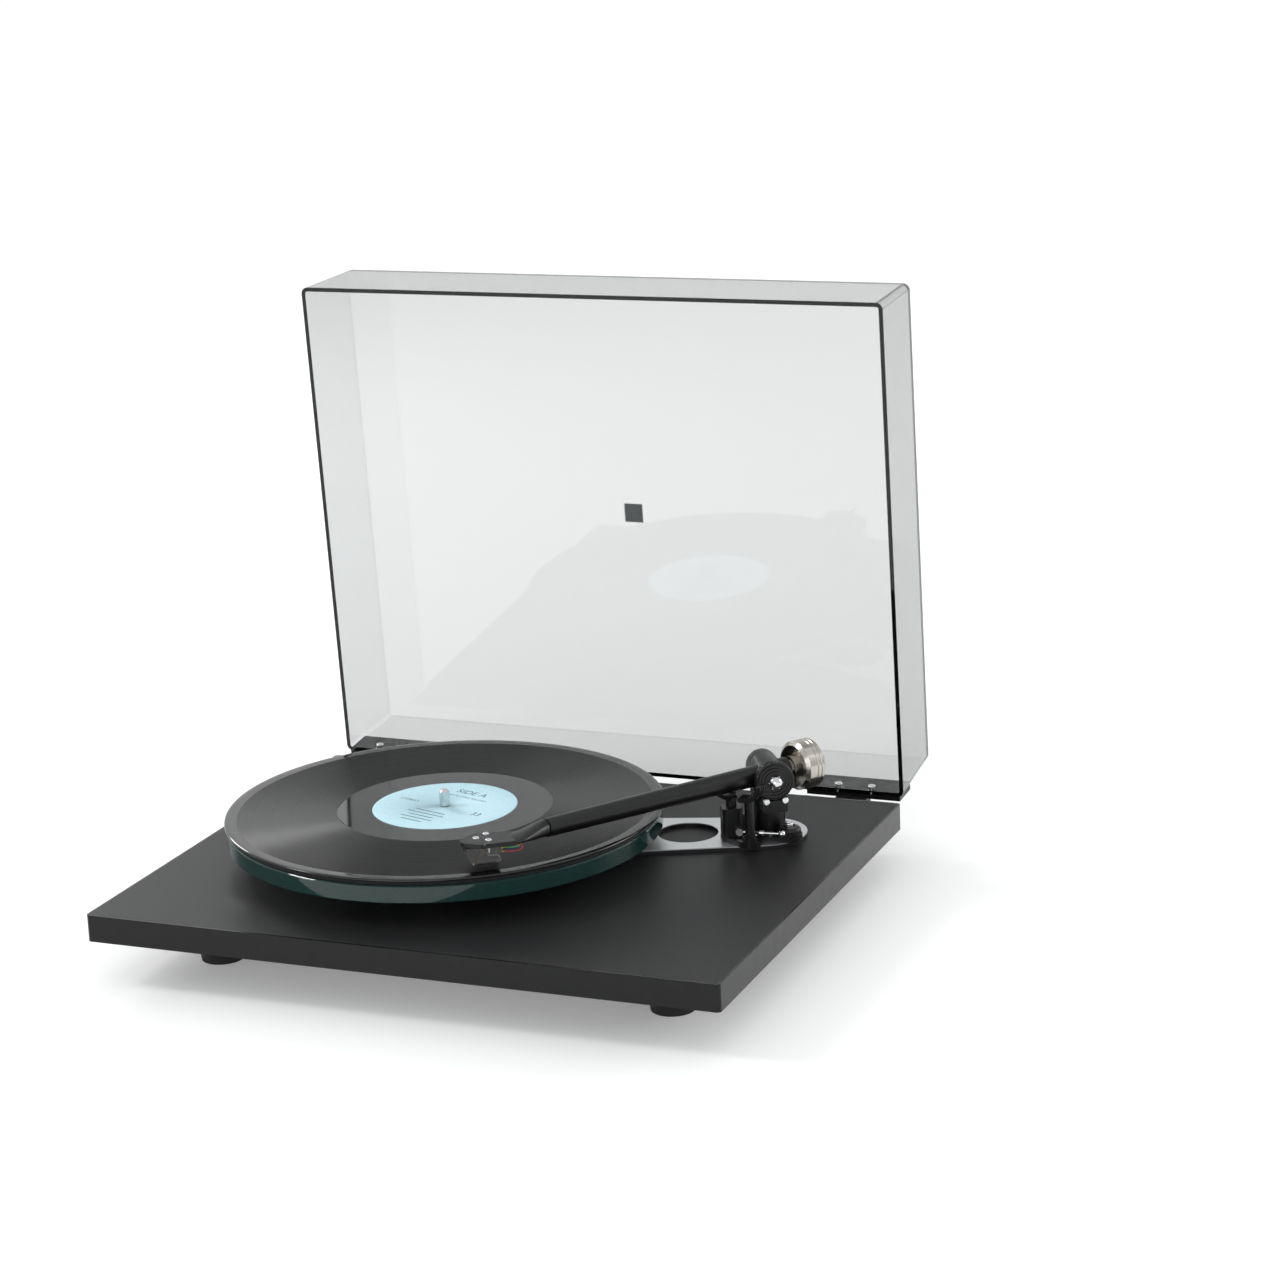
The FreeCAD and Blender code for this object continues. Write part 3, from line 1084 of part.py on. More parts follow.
# ---- assembly -----------------------------------------------------------------------------------
def build():
    sides = (-HINGE_X, HINGE_X)
    holes = lid_screw_holes()
    screw_x = [x for centre in sides for x in hinge_screw_spots(centre)]
    brackets = group(hinge_bracket(x) for x in sides).cut(bracket_screw_holes())
    nodes = {
        "plinth_core": board(CORE_LOW, CORE_TOP).cut(bracket_screw_holes()),
        "plinth_top_skin": board(CORE_TOP, TOP),
        "plinth_bottom_skin": board(UNDER, CORE_LOW),
        "plinth_edge_trim": plinth_edge_trim().cut(bracket_screw_holes()),
        "top_brace": brace(TOP, TOP + BRACE_T),
        "top_brace_skin": brace(TOP + BRACE_T, BRACE_TOP),
        "bottom_brace": brace(BRACE_LOW, UNDER),
        "foot_cups": group(foot_cup(f) for f in FEET),
        "foot_pads": group(foot_pad(f) for f in FEET),
        "foot_screws": group(foot_screw(f) for f in FEET),
        "bearing_housing": bearing_housing(),
        "bearing_nut": bearing_nut(),
        "thrust_ball": thrust_ball(),
        "platter_spindle": platter_spindle(),
        "subplatter": subplatter(),
        "glass_platter": glass_platter(),
        "platter_mat": mat(),
        "record": record(),
        "record_label": record_label(),
        "motor_body": motor_body(),
        "motor_mount": motor_mount(),
        "motor_cover": motor_cover(),
        "motor_shaft": motor_shaft(),
        "motor_pulley": motor_pulley(),
        "drive_belt": drive_belt(),
        "inlet_housing": inlet_housing(),
        "power_socket": power_socket(),
        "control_board": control_board(),
        "lead_clamp": lead_clamp(),
        "cover_screws": cover_screws(),
        "lid_shell": opened(drilled(lid_shell(), holes)),
        "hinge_leaves": opened(group(drilled(hinge_leaf(x), holes) for x in sides)),
        "lid_screws": opened(group(lid_screw(x) for x in screw_x)),
        "hinge_brackets": brackets,
        "bracket_screws": bracket_screws(),
        "hinge_pins": group(hinge_pin(x) for x in sides),
        "arm_base": arm_base(),
        "arm_pillar": arm_pillar(),
        "arm_pillar_nut": arm_pillar_nut(),
        "lift_housing": lift_housing(),
        "arm_rest": arm_rest(),
        "bias_housing": bias_housing(),
        "bias_slider": bias_slider(),
        "base_screws": base_screws(),
        "lift_platform": lift_platform(),
        "cue_lever": cue_lever(),
        "arm_yoke": arm_yoke(),
        "tilt_axle": tilt_axle(),
        "axle_nut": axle_nut(),
        "yoke_screws": yoke_screws(),
        "tracking_dial": tracking_dial(),
        "arm_tube": arm_tube(),
        "tail_stub": tail_stub(),
        "counterweight": counterweight(),
        "cartridge_body": cartridge_body(),
        "cartridge_screws": cartridge_screws(),
        "cartridge_stylus": cartridge_stylus(),
        "cartridge_pins": cartridge_pins(),
        "cartridge_leads": cartridge_leads(),
    }
    return nodes


def middle_y(nodes):
    """Middle of the footprint, front of the plinth to back of the open lid."""
    back = nodes["lid_shell"].BoundBox.YMax
    return (back - BACK) / 2


def main():
    os.makedirs("parts", exist_ok=True)
    nodes = build()
    shift = V(0, -middle_y(nodes), 0)
    print("origin shift", shift.y, "hinge", HINGE_Y + shift.y, HINGE_Z)
    for name, shape in nodes.items():
        shape.translate(shift)
        shape.exportStep("parts/%s.step" % name)
        print(name, len(shape.Solids), shape.isValid(), round(shape.Volume))


main()
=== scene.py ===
# %% [markdown]
# # A belt-drive record player
#
# The frame below is a packed mechanical model: every board, shaft, screw and hinge at its real size.
# This lesson gives each of them the finish that the real part has, and adds the pieces whose shape
# is finer than a mechanical drawing: grooves, wires, a coil, print on a label.

# %% Load the frame
import bmesh
import bpy
import json
import math
import numpy as np
from mathutils import Matrix, Vector


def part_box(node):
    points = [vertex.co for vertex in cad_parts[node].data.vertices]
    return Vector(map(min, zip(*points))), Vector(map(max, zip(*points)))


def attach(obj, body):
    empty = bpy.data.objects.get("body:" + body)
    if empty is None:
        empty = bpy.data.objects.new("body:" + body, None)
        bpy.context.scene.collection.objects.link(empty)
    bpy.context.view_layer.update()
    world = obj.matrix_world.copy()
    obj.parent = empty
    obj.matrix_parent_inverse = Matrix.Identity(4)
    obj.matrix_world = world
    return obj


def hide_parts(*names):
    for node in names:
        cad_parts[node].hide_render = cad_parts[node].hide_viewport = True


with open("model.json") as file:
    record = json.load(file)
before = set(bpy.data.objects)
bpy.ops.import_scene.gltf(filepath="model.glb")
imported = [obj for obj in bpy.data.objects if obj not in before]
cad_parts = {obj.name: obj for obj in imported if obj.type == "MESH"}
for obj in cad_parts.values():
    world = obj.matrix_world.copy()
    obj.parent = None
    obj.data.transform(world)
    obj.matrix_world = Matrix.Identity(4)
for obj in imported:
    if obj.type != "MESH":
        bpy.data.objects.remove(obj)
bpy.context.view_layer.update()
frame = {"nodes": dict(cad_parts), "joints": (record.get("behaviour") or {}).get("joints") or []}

nodes = frame["nodes"]

MM = 0.001

# %% [markdown]
# ## Where things are
#
# Nothing is measured twice. The spindle's place comes from the glass platter's box, the top of the
# plinth from its laminate, and the tonearm's directions from the joints that it turns on.

# %% Places read from the frame
def middle(node):
    """Centre of a node's box."""
    low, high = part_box(node)
    return (low + high) / 2


def joint(name):
    """One joint's entry in the frame."""
    return next(j for j in frame["joints"] if j["name"] == name)


plinth_low, plinth_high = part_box("plinth_top_skin")
TOP = plinth_high.z
PLINTH_MIDDLE = Vector((0, (plinth_low.y + plinth_high.y) / 2, TOP))
SPINDLE = middle("glass_platter")
RECORD_LOW, RECORD_HIGH = (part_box("record")[k].z for k in (0, 1))
RECORD_R = (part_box("record")[1].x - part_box("record")[0].x) / 2
LABEL_R = (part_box("record_label")[1].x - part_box("record_label")[0].x) / 2
PIVOT = Vector(joint("arm_tilt")["pos_m"])
ASIDE = -Vector(joint("arm_tilt")["axis"]).normalized()
AHEAD = Vector((ASIDE.y, -ASIDE.x, 0)).normalized()
TAIL = Vector(joint("counterweight_slide")["axis"]).normalized()
STYLUS = middle("cartridge_stylus")
print("spindle", tuple(round(v, 4) for v in SPINDLE), "pivot", tuple(round(v, 4) for v in PIVOT))

# %% [markdown]
# ## Camera
#
# The camera stands to the right of the player and a little above it, with a long lens, so the
# edges stay almost parallel. Its place is given from the middle of the plinth's top.

# %% Camera
EYE = Vector((0.9152, -1.9228, 0.7388))      # from the middle of the plinth's top
YAW, PITCH, ROLL = -0.3986, 0.2701, -0.0430  # radians
LENS = 92.57                                 # mm, on a 36 mm sensor


def aim(camera):
    """Turn a camera by yaw about the vertical, then pitch down, then roll."""
    ahead = Vector((math.sin(YAW) * math.cos(PITCH), math.cos(YAW) * math.cos(PITCH), -math.sin(PITCH)))
    right = Vector((math.cos(YAW), -math.sin(YAW), 0))
    up = right.cross(ahead)
    rolled_right = right * math.cos(ROLL) + up * math.sin(ROLL)
    rolled_up = up * math.cos(ROLL) - right * math.sin(ROLL)
    turn = Matrix((rolled_right, rolled_up, -ahead)).transposed()
    camera.matrix_world = Matrix.Translation(PLINTH_MIDDLE + EYE) @ turn.to_4x4()


camera = bpy.data.objects.new("camera", bpy.data.cameras.new("camera"))
bpy.context.scene.collection.objects.link(camera)
camera.data.lens = LENS
camera.data.sensor_width = 36
camera.data.clip_start = 0.05
aim(camera)
bpy.context.scene.camera = camera
print("camera at", tuple(round(v, 3) for v in camera.location))

# %% [markdown]
# ## Helpers for finishes
#
# A colour is chosen as a screen colour, so one function turns its hex code into the linear light
# that the renderer mixes. One more function adds a node with its settings and its links, which
# keeps every finish below short enough to read as a recipe.

# %% Helpers for finishes
def colour(code):
    """Linear colour of an sRGB hex code: below 0.04045 a straight line, above it a 2.4 power."""
    s = np.array([int(code[k:k + 2], 16) / 255 for k in (1, 3, 5)])
    linear = np.where(s <= 0.04045, s / 12.92, ((s + 0.055) / 1.055) ** 2.4)
    return (*[float(v) for v in linear], 1.0)


def add(material, kind, values=None, links=None, **settings):
    """Add one node, set its fields and sockets, and link its inputs."""
    tree = material.node_tree
    node = tree.nodes.new(kind)
    for name, value in settings.items():
        setattr(node, name, value)
    for name, value in (values or {}).items():
        node.inputs[name].default_value = value
    for name, source in (links or {}).items():
        tree.links.new(source, node.inputs[name])
    return node


def finish(name, code, roughness, metallic=0.0, ior=1.5, **more):
    """New material with one surface shader; more sets its other sockets."""
    material = bpy.data.materials.new(name)
    material.use_nodes = True
    shader = material.node_tree.nodes["Principled BSDF"]
    shader.inputs["Base Color"].default_value = colour(code)
    shader.inputs["Roughness"].default_value = roughness
    shader.inputs["Metallic"].default_value = metallic
    shader.inputs["IOR"].default_value = ior
    for socket, value in more.items():
        shader.inputs[socket.replace("_", " ")].default_value = value
    return material, shader


def lay(node, material):
    """Give a CAD node one material in all of its slots."""
    mesh = nodes[node].data
    mesh.materials.clear()
    mesh.materials.append(material)


def per_metre(size_mm):
    """Texture scale at which one feature is about size_mm wide."""
    return 1000.0 / size_mm


def mottle(material, shader, low_code, high_code, size_mm, detail=4.0, low=0.35, high=0.65):
    """Colour that wanders between two shades, with features of a given size."""
    place = add(material, "ShaderNodeTexCoord")
    noise = add(material, "ShaderNodeTexNoise", {"Scale": per_metre(size_mm), "Detail": detail},
                {"Vector": place.outputs["Object"]})
    ramp = add(material, "ShaderNodeValToRGB", links={"Fac": noise.outputs["Fac"]})
    ramp.color_ramp.elements[0].position = low
    ramp.color_ramp.elements[1].position = high
    ramp.color_ramp.elements[0].color = colour(low_code)
    ramp.color_ramp.elements[1].color = colour(high_code)
    material.node_tree.links.new(ramp.outputs["Color"], shader.inputs["Base Color"])
    return noise


def dimple(material, shader, size_mm, depth_mm, detail=3.0, stretch=(1, 1, 1), turn=(0, 0, 0)):
    """Fine bump with features of a given size and depth, stretched along the axes."""
    place = add(material, "ShaderNodeTexCoord")
    aligned = add(material, "ShaderNodeMapping", {"Scale": stretch, "Rotation": turn},
                  {"Vector": place.outputs["Object"]})
    noise = add(material, "ShaderNodeTexNoise", {"Scale": per_metre(size_mm), "Detail": detail},
                {"Vector": aligned.outputs["Vector"]})
    bump = add(material, "ShaderNodeBump", {"Strength": 1.0, "Distance": depth_mm * MM},
               {"Height": noise.outputs["Fac"]})
    material.node_tree.links.new(bump.outputs["Normal"], shader.inputs["Normal"])
    return noise


def uneven(material, shader, size_mm, low, high):
    """Roughness that wanders between two values, as on a handled surface."""
    place = add(material, "ShaderNodeTexCoord")
    noise = add(material, "ShaderNodeTexNoise", {"Scale": per_metre(size_mm), "Detail": 3.0},
                {"Vector": place.outputs["Object"]})
    spread = add(material, "ShaderNodeMapRange", {"From Min": 0.3, "From Max": 0.7,
                                                  "To Min": low, "To Max": high},
                 {"Value": noise.outputs["Fac"]})
    material.node_tree.links.new(spread.outputs["Result"], shader.inputs["Roughness"])


# %% [markdown]
# ## Plinth
#
# The plinth is chipboard between two sheets of high-pressure laminate. The laminate is pressed
# against a fine texture plate, so it is matt charcoal with a grain well under a millimetre, and its
# colour is very slightly mottled. The edge is a polished acrylic band, almost black, that shows
# sharp reflections. A slow waviness in it keeps those reflections from looking like a mirror's.

# %% Plinth finishes
laminate, shader = finish("high_pressure_laminate", "#19191a", 0.46, Specular_IOR_Level=0.36)
mottle(laminate, shader, "#161617", "#202021", 0.9, detail=6.0)
dimple(laminate, shader, 0.55, 0.035, detail=4.0)
lay("plinth_top_skin", laminate)
lay("plinth_bottom_skin", laminate)

edge_band, shader = finish("polished_acrylic_band", "#0c0c0d", 0.16, ior=1.49, Specular_IOR_Level=0.30)
mottle(edge_band, shader, "#0a0a0b", "#101011", 6.0)
dimple(edge_band, shader, 14.0, 0.04, detail=1.0)
uneven(edge_band, shader, 9.0, 0.12, 0.24)
lay("plinth_edge_trim", edge_band)

chipboard, shader = finish("raw_chipboard", "#a98a62", 0.8)
mottle(chipboard, shader, "#8a6a45", "#c4a67c", 2.2, detail=5.0)
dimple(chipboard, shader, 1.5, 0.15)
lay("plinth_core", chipboard)

# %% [markdown]
# ## Braces
#
# The brace is a stiff resin laminate. On top it carries a thin satin aluminium skin: its grain was
# made by a belt running one way, so the bump is stretched forty to one along that way. Below the
# plinth the brace is bare and dark.

# %% Brace finishes
satin_skin, shader = finish("satin_anodised_aluminium", "#e3e5e6", 0.38, metallic=1.0)
dimple(satin_skin, shader, 0.5, 0.006, stretch=(0.025, 1, 1), turn=(0, 0, math.radians(-22)))
uneven(satin_skin, shader, 30.0, 0.34, 0.44)
lay("top_brace_skin", satin_skin)

resin_board, shader = finish("phenolic_resin_laminate", "#17171a", 0.42)
dimple(resin_board, shader, 0.6, 0.02)
lay("top_brace", resin_board)
lay("bottom_brace", resin_board)

# %% [markdown]
# ## Plastics and rubber
#
# Most of the small black parts are injection-moulded ABS with a spark-eroded texture, which breaks
# up highlights without hiding them. The feet stand on soft rubber, which hardly shines at all.

# %% Plastics and rubber
abs_black, shader = finish("moulded_abs", "#0c0c0d", 0.34, Specular_IOR_Level=0.42)
mottle(abs_black, shader, "#0a0a0b", "#111112", 2.5)
dimple(abs_black, shader, 0.35, 0.012)
uneven(abs_black, shader, 12.0, 0.30, 0.44)
for name in ("foot_cups", "motor_cover", "inlet_housing", "power_socket", "lead_clamp", "hinge_leaves",
             "hinge_brackets", "arm_base", "lift_housing", "arm_rest", "bias_housing", "lift_platform",
             "tracking_dial"):
    lay(name, abs_black)

soft_rubber, shader = finish("nitrile_rubber", "#18181a", 0.75)
mottle(soft_rubber, shader, "#151517", "#1f1f21", 3.0)
dimple(soft_rubber, shader, 0.8, 0.02)
for name in ("foot_pads", "motor_mount", "drive_belt"):
    lay(name, soft_rubber)

# %% [markdown]
# ## Metals
#
# Screws and pins are nickel plated: bright, with faint handling marks. Turned parts carry the fine
# rings that the tool left; those rings are drawn as noise that is fast along the axis and slow
# round it. Brass and machined aluminium follow the same recipe with their own colours.

# %% Metals
nickel, shader = finish("nickel_plated_steel", "#dcdcdd", 0.14, metallic=1.0)
uneven(nickel, shader, 1.2, 0.09, 0.24)
for name in ("foot_screws", "cover_screws", "lid_screws", "bracket_screws", "hinge_pins", "base_screws",
             "yoke_screws", "cartridge_screws", "axle_nut", "tilt_axle", "cue_lever", "bias_slider",
             "arm_pillar_nut", "platter_spindle", "thrust_ball", "motor_shaft"):
    lay(name, nickel)


def turned_metal(name, code, roughness, axis, ring_mm):
    """Metal with tool rings round an axis: noise compressed along it by fifty."""
    material, shader = finish(name, code, roughness, metallic=1.0, Anisotropic=0.6)
    turn = axis.to_track_quat("Z", "Y").inverted().to_euler()
    dimple(material, shader, ring_mm, 0.004, detail=2.0, stretch=(0.02, 0.02, 1), turn=tuple(turn))
    return material


stainless = turned_metal("turned_stainless_steel", "#bdb8b0", 0.24, TAIL, 0.30)
lay("counterweight", stainless)
lay("tail_stub", stainless)
lay("bearing_housing", turned_metal("turned_brass", "#c9a65a", 0.28, Vector((0, 0, 1)), 0.4))
lay("bearing_nut", turned_metal("machined_brass", "#b9975a", 0.34, Vector((0, 0, 1)), 0.5))
alloy = turned_metal("machined_aluminium", "#c4c6c8", 0.30, Vector((0, 0, 1)), 0.5)
for name in ("subplatter", "motor_pulley", "motor_body", "cartridge_stylus"):
    lay(name, alloy)

lacquer, shader = finish("solder_lacquer", "#0f4a26", 0.3)
mottle(lacquer, shader, "#0c3d20", "#14582e", 4.0)
lay("control_board", lacquer)

# %% [markdown]
# ## Tonearm paint
#
# The arm is one aluminium casting, polished by hand and powder coated black. The coat levels almost
# flat, so it has long soft highlights with a trace of orange peel about two millimetres wide.

# %% Tonearm paint
arm_coat, shader = finish("satin_powder_coat", "#0a0a0b", 0.34, Specular_IOR_Level=0.40)
mottle(arm_coat, shader, "#09090a", "#0f0f10", 3.0)
dimple(arm_coat, shader, 2.0, 0.010, detail=1.0)
uneven(arm_coat, shader, 18.0, 0.30, 0.38)
for name in ("arm_tube", "arm_yoke", "arm_pillar"):
    lay(name, arm_coat)

# %% [markdown]
# ## Clear parts
#
# Light that passes through glass or acrylic loses some colour on every millimetre, so a thin sheet
# looks nearly clear and an edge, seen lengthways, looks deep green or almost black. A tinted surface
# colour can't do that. These materials are clear at the surface and absorb in their volume, and the
# density is set so that the real thickness gives the real tint. The platter's glass has a ground rim
# that scatters part of the light, so it is a little milky as well.

# %% Clear parts
def clear(name, roughness, ior, tint, density, surface="#ffffff", milk=0.0):
    """Clear solid that absorbs 1 - tint of each colour at a density per metre; milk scatters a share."""
    material, shader = finish(name, surface, roughness, ior=ior, Transmission_Weight=1.0 - milk)
    absorb = add(material, "ShaderNodeVolumeAbsorption", {"Color": tint, "Density": density})
    output = material.node_tree.nodes["Material Output"]
    material.node_tree.links.new(absorb.outputs["Volume"], output.inputs["Volume"])
    return material


float_glass = clear("float_glass", 0.04, 1.52, (0.30, 0.86, 0.76, 1), 12.0, "#4a877e", milk=0.14)
smoked_acrylic = clear("smoked_acrylic", 0.02, 1.49, (0.05, 0.07, 0.07, 1), 145.0)
smoked_shell = clear("smoked_polycarbonate", 0.05, 1.58, (0.10, 0.08, 0.05, 1), 260.0)
lay("glass_platter", float_glass)
lay("lid_shell", smoked_acrylic)
lay("cartridge_body", smoked_shell)

# %% [markdown]
# ## Felt mat
#
# The mat is pressed wool felt. Loose fibres stand up from it and catch light at grazing angles,
# which is what the sheen is for; the bump is as coarse as a tuft, about a millimetre.

# %% Felt mat
felt, shader = finish("pressed_wool_felt", "#161617", 0.95, Sheen_Weight=0.5, Sheen_Roughness=0.4)
mottle(felt, shader, "#101011", "#222224", 0.8, detail=8.0)
dimple(felt, shader, 0.7, 0.25, detail=6.0)
lay("platter_mat", felt)

# %% [markdown]
# ## Surfaces from numpy
#
# The new pieces are grids of points. A grid has rows that run one way and columns that run the
# other, and it may close on itself in either direction. One function turns such a grid into a mesh.

# %% Surfaces from numpy
def skin(name, grid, material, close_rows=False, close_columns=True, smooth=True):
    """Mesh of a (rows, columns, 3) grid of points, with quads between neighbours."""
    rows, columns = grid.shape[:2]
    r = np.arange(rows if close_rows else rows - 1)
    c = np.arange(columns if close_columns else columns - 1)
    i, j = np.meshgrid(r, c, indexing="ij")
    i2, j2 = (i + 1) % rows, (j + 1) % columns
    quads = np.stack([i * columns + j, i * columns + j2, i2 * columns + j2, i2 * columns + j], -1)
    quads = quads.reshape(-1, 4)
    mesh = bpy.data.meshes.new(name)
    mesh.vertices.add(rows * columns)
    mesh.vertices.foreach_set("co", grid.reshape(-1).astype(np.float32))
    mesh.loops.add(quads.size)
    mesh.loops.foreach_set("vertex_index", quads.reshape(-1).astype(np.int32))
    mesh.polygons.add(len(quads))
    mesh.polygons.foreach_set("loop_start", np.arange(0, quads.size, 4, dtype=np.int32))
    mesh.polygons.foreach_set("use_smooth", np.full(len(quads), smooth))
    mesh.update(calc_edges=True)
    mesh.validate()
    mesh.materials.append(material)
    piece = bpy.data.objects.new(name, mesh)
    bpy.context.scene.collection.objects.link(piece)
    return piece


def turned(radii, heights, centre, columns=256):
    """Surface of revolution about the upright line through centre: (r cos a, r sin a, z)."""
    a = np.linspace(0, 2 * np.pi, columns, endpoint=False)
    r, z = np.asarray(radii)[:, None], np.asarray(heights)[:, None]
    return np.stack([centre.x + r * np.cos(a), centre.y + r * np.sin(a), z + 0 * a], -1)


def tube(path, radius, columns=12):
    """Round skin carried along a path of points; radius may change along it, and the ends close.

    At each point the ring lies in the plane square to the path's direction."""
    path = np.asarray(path, float)
    along = np.gradient(path, axis=0)
    along /= np.linalg.norm(along, axis=1, keepdims=True)
    helper = np.array([0.13, 0.21, 0.97])
    side = np.cross(along, helper)
    side /= np.linalg.norm(side, axis=1, keepdims=True)
    up = np.cross(side, along)
    a = np.linspace(0, 2 * np.pi, columns, endpoint=False)
    r = np.broadcast_to(np.asarray(radius, float), (len(path),))[:, None, None]
    ring = side[:, None, :] * np.cos(a)[None, :, None] + up[:, None, :] * np.sin(a)[None, :, None]
    body = path[:, None, :] + r * ring
    first = np.repeat(path[:1, None, :], columns, axis=1)
    last = np.repeat(path[-1:, None, :], columns, axis=1)
    return np.concatenate([first, body, last], axis=0)


def weld(piece):
    """Merge coincident points, which closes poles and seams, and turn all faces outwards."""
    shape = bmesh.new()
    shape.from_mesh(piece.data)
    bmesh.ops.remove_doubles(shape, verts=shape.verts, dist=1e-6)
    bmesh.ops.recalc_face_normals(shape, faces=shape.faces)
    shape.to_mesh(piece.data)
    shape.free()
    return piece


# %% [markdown]
# ## The record
#
# A record is a pressed disc: a raised lip, a smooth run-in, a band of grooves for each track with a
# narrow plain gap between, and a plain dead-wax ring round the label. The profile below is a list of
# radii and heights that is turned about the spindle. A groove is a twentieth of a millimetre wide,
# far too fine for a mesh or a render, so the material draws rings coarse enough to show, as a bump
# on the distance from the spindle, and the bands' own height steps catch the light at the gaps.

# %% Record
GROOVES_IN, GROOVES_OUT = 74.0, 142.5           # mm, radii of the music
TRACK_GAPS = (88.0, 103.5, 117.0, 131.0)        # mm, radii of the plain gaps
GROOVE_SINK = 0.10                              # mm, music below the lip


def record_profile():
    """Radii and heights of the disc, from the hole's top edge out, round the lip and back below."""
    r = np.concatenate([[3.7, LABEL_R / MM, LABEL_R / MM + 1], np.linspace(52, 141.5, 150),
                        [142.5, 143.5, 146.3, 147.3, 149.6, 150.4, RECORD_R / MM]])
    sink = np.where((r > GROOVES_IN) & (r < GROOVES_OUT), GROOVE_SINK, 0.15)
    for gap in TRACK_GAPS:
        sink = sink + 0.05 * np.exp(-((r - gap) / 0.8) ** 2)
    z = RECORD_HIGH / MM - sink
    z[:2] = RECORD_HIGH / MM - 0.25
    z[-5:] = RECORD_HIGH / MM - np.array([0.0, 0.0, 0.0, 0.15, 0.65])
    under = np.array([[RECORD_R / MM, 0.6], [RECORD_R / MM - 0.8, 0.0], [3.7, 0.0]])
    r = np.concatenate([r, under[:, 0], [3.7]])
    z = np.concatenate([z, RECORD_LOW / MM + under[:, 1], [RECORD_HIGH / MM - 0.25]])
    return r * MM, z * MM


vinyl, shader = finish("pressed_vinyl", "#090909", 0.22, ior=1.54)


def groove_bump(material, shader, pitch_mm, depth_mm):
    """Rings round the spindle: the sine of the distance from it, faded out off the music."""
    place = add(material, "ShaderNodeTexCoord")
    centred = add(material, "ShaderNodeMapping", {"Location": (-SPINDLE.x, -SPINDLE.y, 0)},
                  {"Vector": place.outputs["Object"]})
    flat = add(material, "ShaderNodeVectorMath", {1: (1, 1, 0)}, {0: centred.outputs["Vector"]},
               operation="MULTIPLY")
    reach = add(material, "ShaderNodeVectorMath", links={0: flat.outputs["Vector"]}, operation="LENGTH")
    phase = add(material, "ShaderNodeMath", {1: 2 * math.pi / (pitch_mm * MM)},
                {0: reach.outputs["Value"]}, operation="MULTIPLY")
    wave = add(material, "ShaderNodeMath", links={0: phase.outputs["Value"]}, operation="SINE")
    loud = add(material, "ShaderNodeTexNoise", {"Scale": per_metre(1.6), "Detail": 3.0},
               {"W": reach.outputs["Value"]}, noise_dimensions="1D")
    inner = add(material, "ShaderNodeMath", {1: GROOVES_IN * MM}, {0: reach.outputs["Value"]},
                operation="GREATER_THAN")
    outer = add(material, "ShaderNodeMath", {1: GROOVES_OUT * MM}, {0: reach.outputs["Value"]},
                operation="LESS_THAN")
    music = add(material, "ShaderNodeMath", links={0: inner.outputs["Value"], 1: outer.outputs["Value"]},
                operation="MULTIPLY")
    swell = add(material, "ShaderNodeMath", links={0: wave.outputs["Value"], 1: loud.outputs["Fac"]},
                operation="MULTIPLY")
    height = add(material, "ShaderNodeMath", links={0: swell.outputs["Value"], 1: music.outputs["Value"]},
                 operation="MULTIPLY")
    bump = add(material, "ShaderNodeBump", {"Strength": 1.0, "Distance": depth_mm * MM},
               {"Height": height.outputs["Value"]})
    material.node_tree.links.new(bump.outputs["Normal"], shader.inputs["Normal"])
    # Across the grooves light spreads much further than along them, so the sheen is anisotropic and
    # the direction of the wide spread is the way out from the spindle. A groove also traps some of the
    # light that its walls send across to each other.
    rough = add(material, "ShaderNodeMapRange", {"To Min": 0.07, "To Max": 0.35},
                {"Value": music.outputs["Value"]})
    lengthways = add(material, "ShaderNodeMapRange", {"To Min": 0.0, "To Max": 0.95},
                     {"Value": music.outputs["Value"]})
    trapped = add(material, "ShaderNodeMapRange", {"To Min": 0.50, "To Max": 0.26},
                  {"Value": music.outputs["Value"]})
    tangent = add(material, "ShaderNodeVectorMath", links={0: flat.outputs["Vector"]},
                  operation="NORMALIZE")
    tree = material.node_tree
    tree.links.new(rough.outputs["Result"], shader.inputs["Roughness"])
    tree.links.new(trapped.outputs["Result"], shader.inputs["Specular IOR Level"])
    tree.links.new(lengthways.outputs["Result"], shader.inputs["Anisotropic"])
    tree.links.new(tangent.outputs["Vector"], shader.inputs["Tangent"])


groove_bump(vinyl, shader, 0.7, 0.012)
record_r, record_z = record_profile()
record = weld(skin("pressed_record", turned(record_r, record_z, SPINDLE), vinyl))
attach(record, "platter")
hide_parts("record")
print("record profile points:", len(record_r))

# %% [markdown]
# ## The label
#
# The label is uncoated paper, printed in one dark colour. It is a thin turned disc like the record;
# its print is a few generic words and lines, made as text, turned to mesh and laid a twentieth of a
# millimetre above the paper, where no two surfaces share a place.

# %% Label paper
paper, shader = finish("uncoated_paper", "#c8ecf6", 0.7)
mottle(paper, shader, "#c3e8f3", "#cef0f9", 1.5, detail=5.0)
dimple(paper, shader, 0.5, 0.01, detail=5.0)
label_low, label_high = (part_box("record_label")[k].z for k in (0, 1))
label_r = np.array([3.75, 49.2, LABEL_R / MM - 0.1, LABEL_R / MM - 0.1, 3.75, 3.75]) * MM
label_z = np.array([label_high, label_high, label_high - 0.00008, label_low, label_low, label_high])
label = weld(skin("paper_label", turned(label_r, label_z, SPINDLE, 128), paper))
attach(label, "platter")
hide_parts("record_label")

# %% Label print
ink, shader = finish("printing_ink", "#2b5563", 0.6)
mottle(ink, shader, "#27505e", "#316070", 0.6)
LABEL_TURN = math.radians(-16)
PRINT = [("SIDE A", 9.0, -1.0, 27.0), ("STEREO", 4.6, -30.0, -4.0), ("33", 8.0, 31.0, -6.0),
         ("LONG PLAYING RECORD", 3.4, 0.0, 19.5)]
TRACKS = [(26.0, -15.0), (32.0, -20.0), (22.0, -25.0), (28.0, -30.0), (18.0, -35.0)]


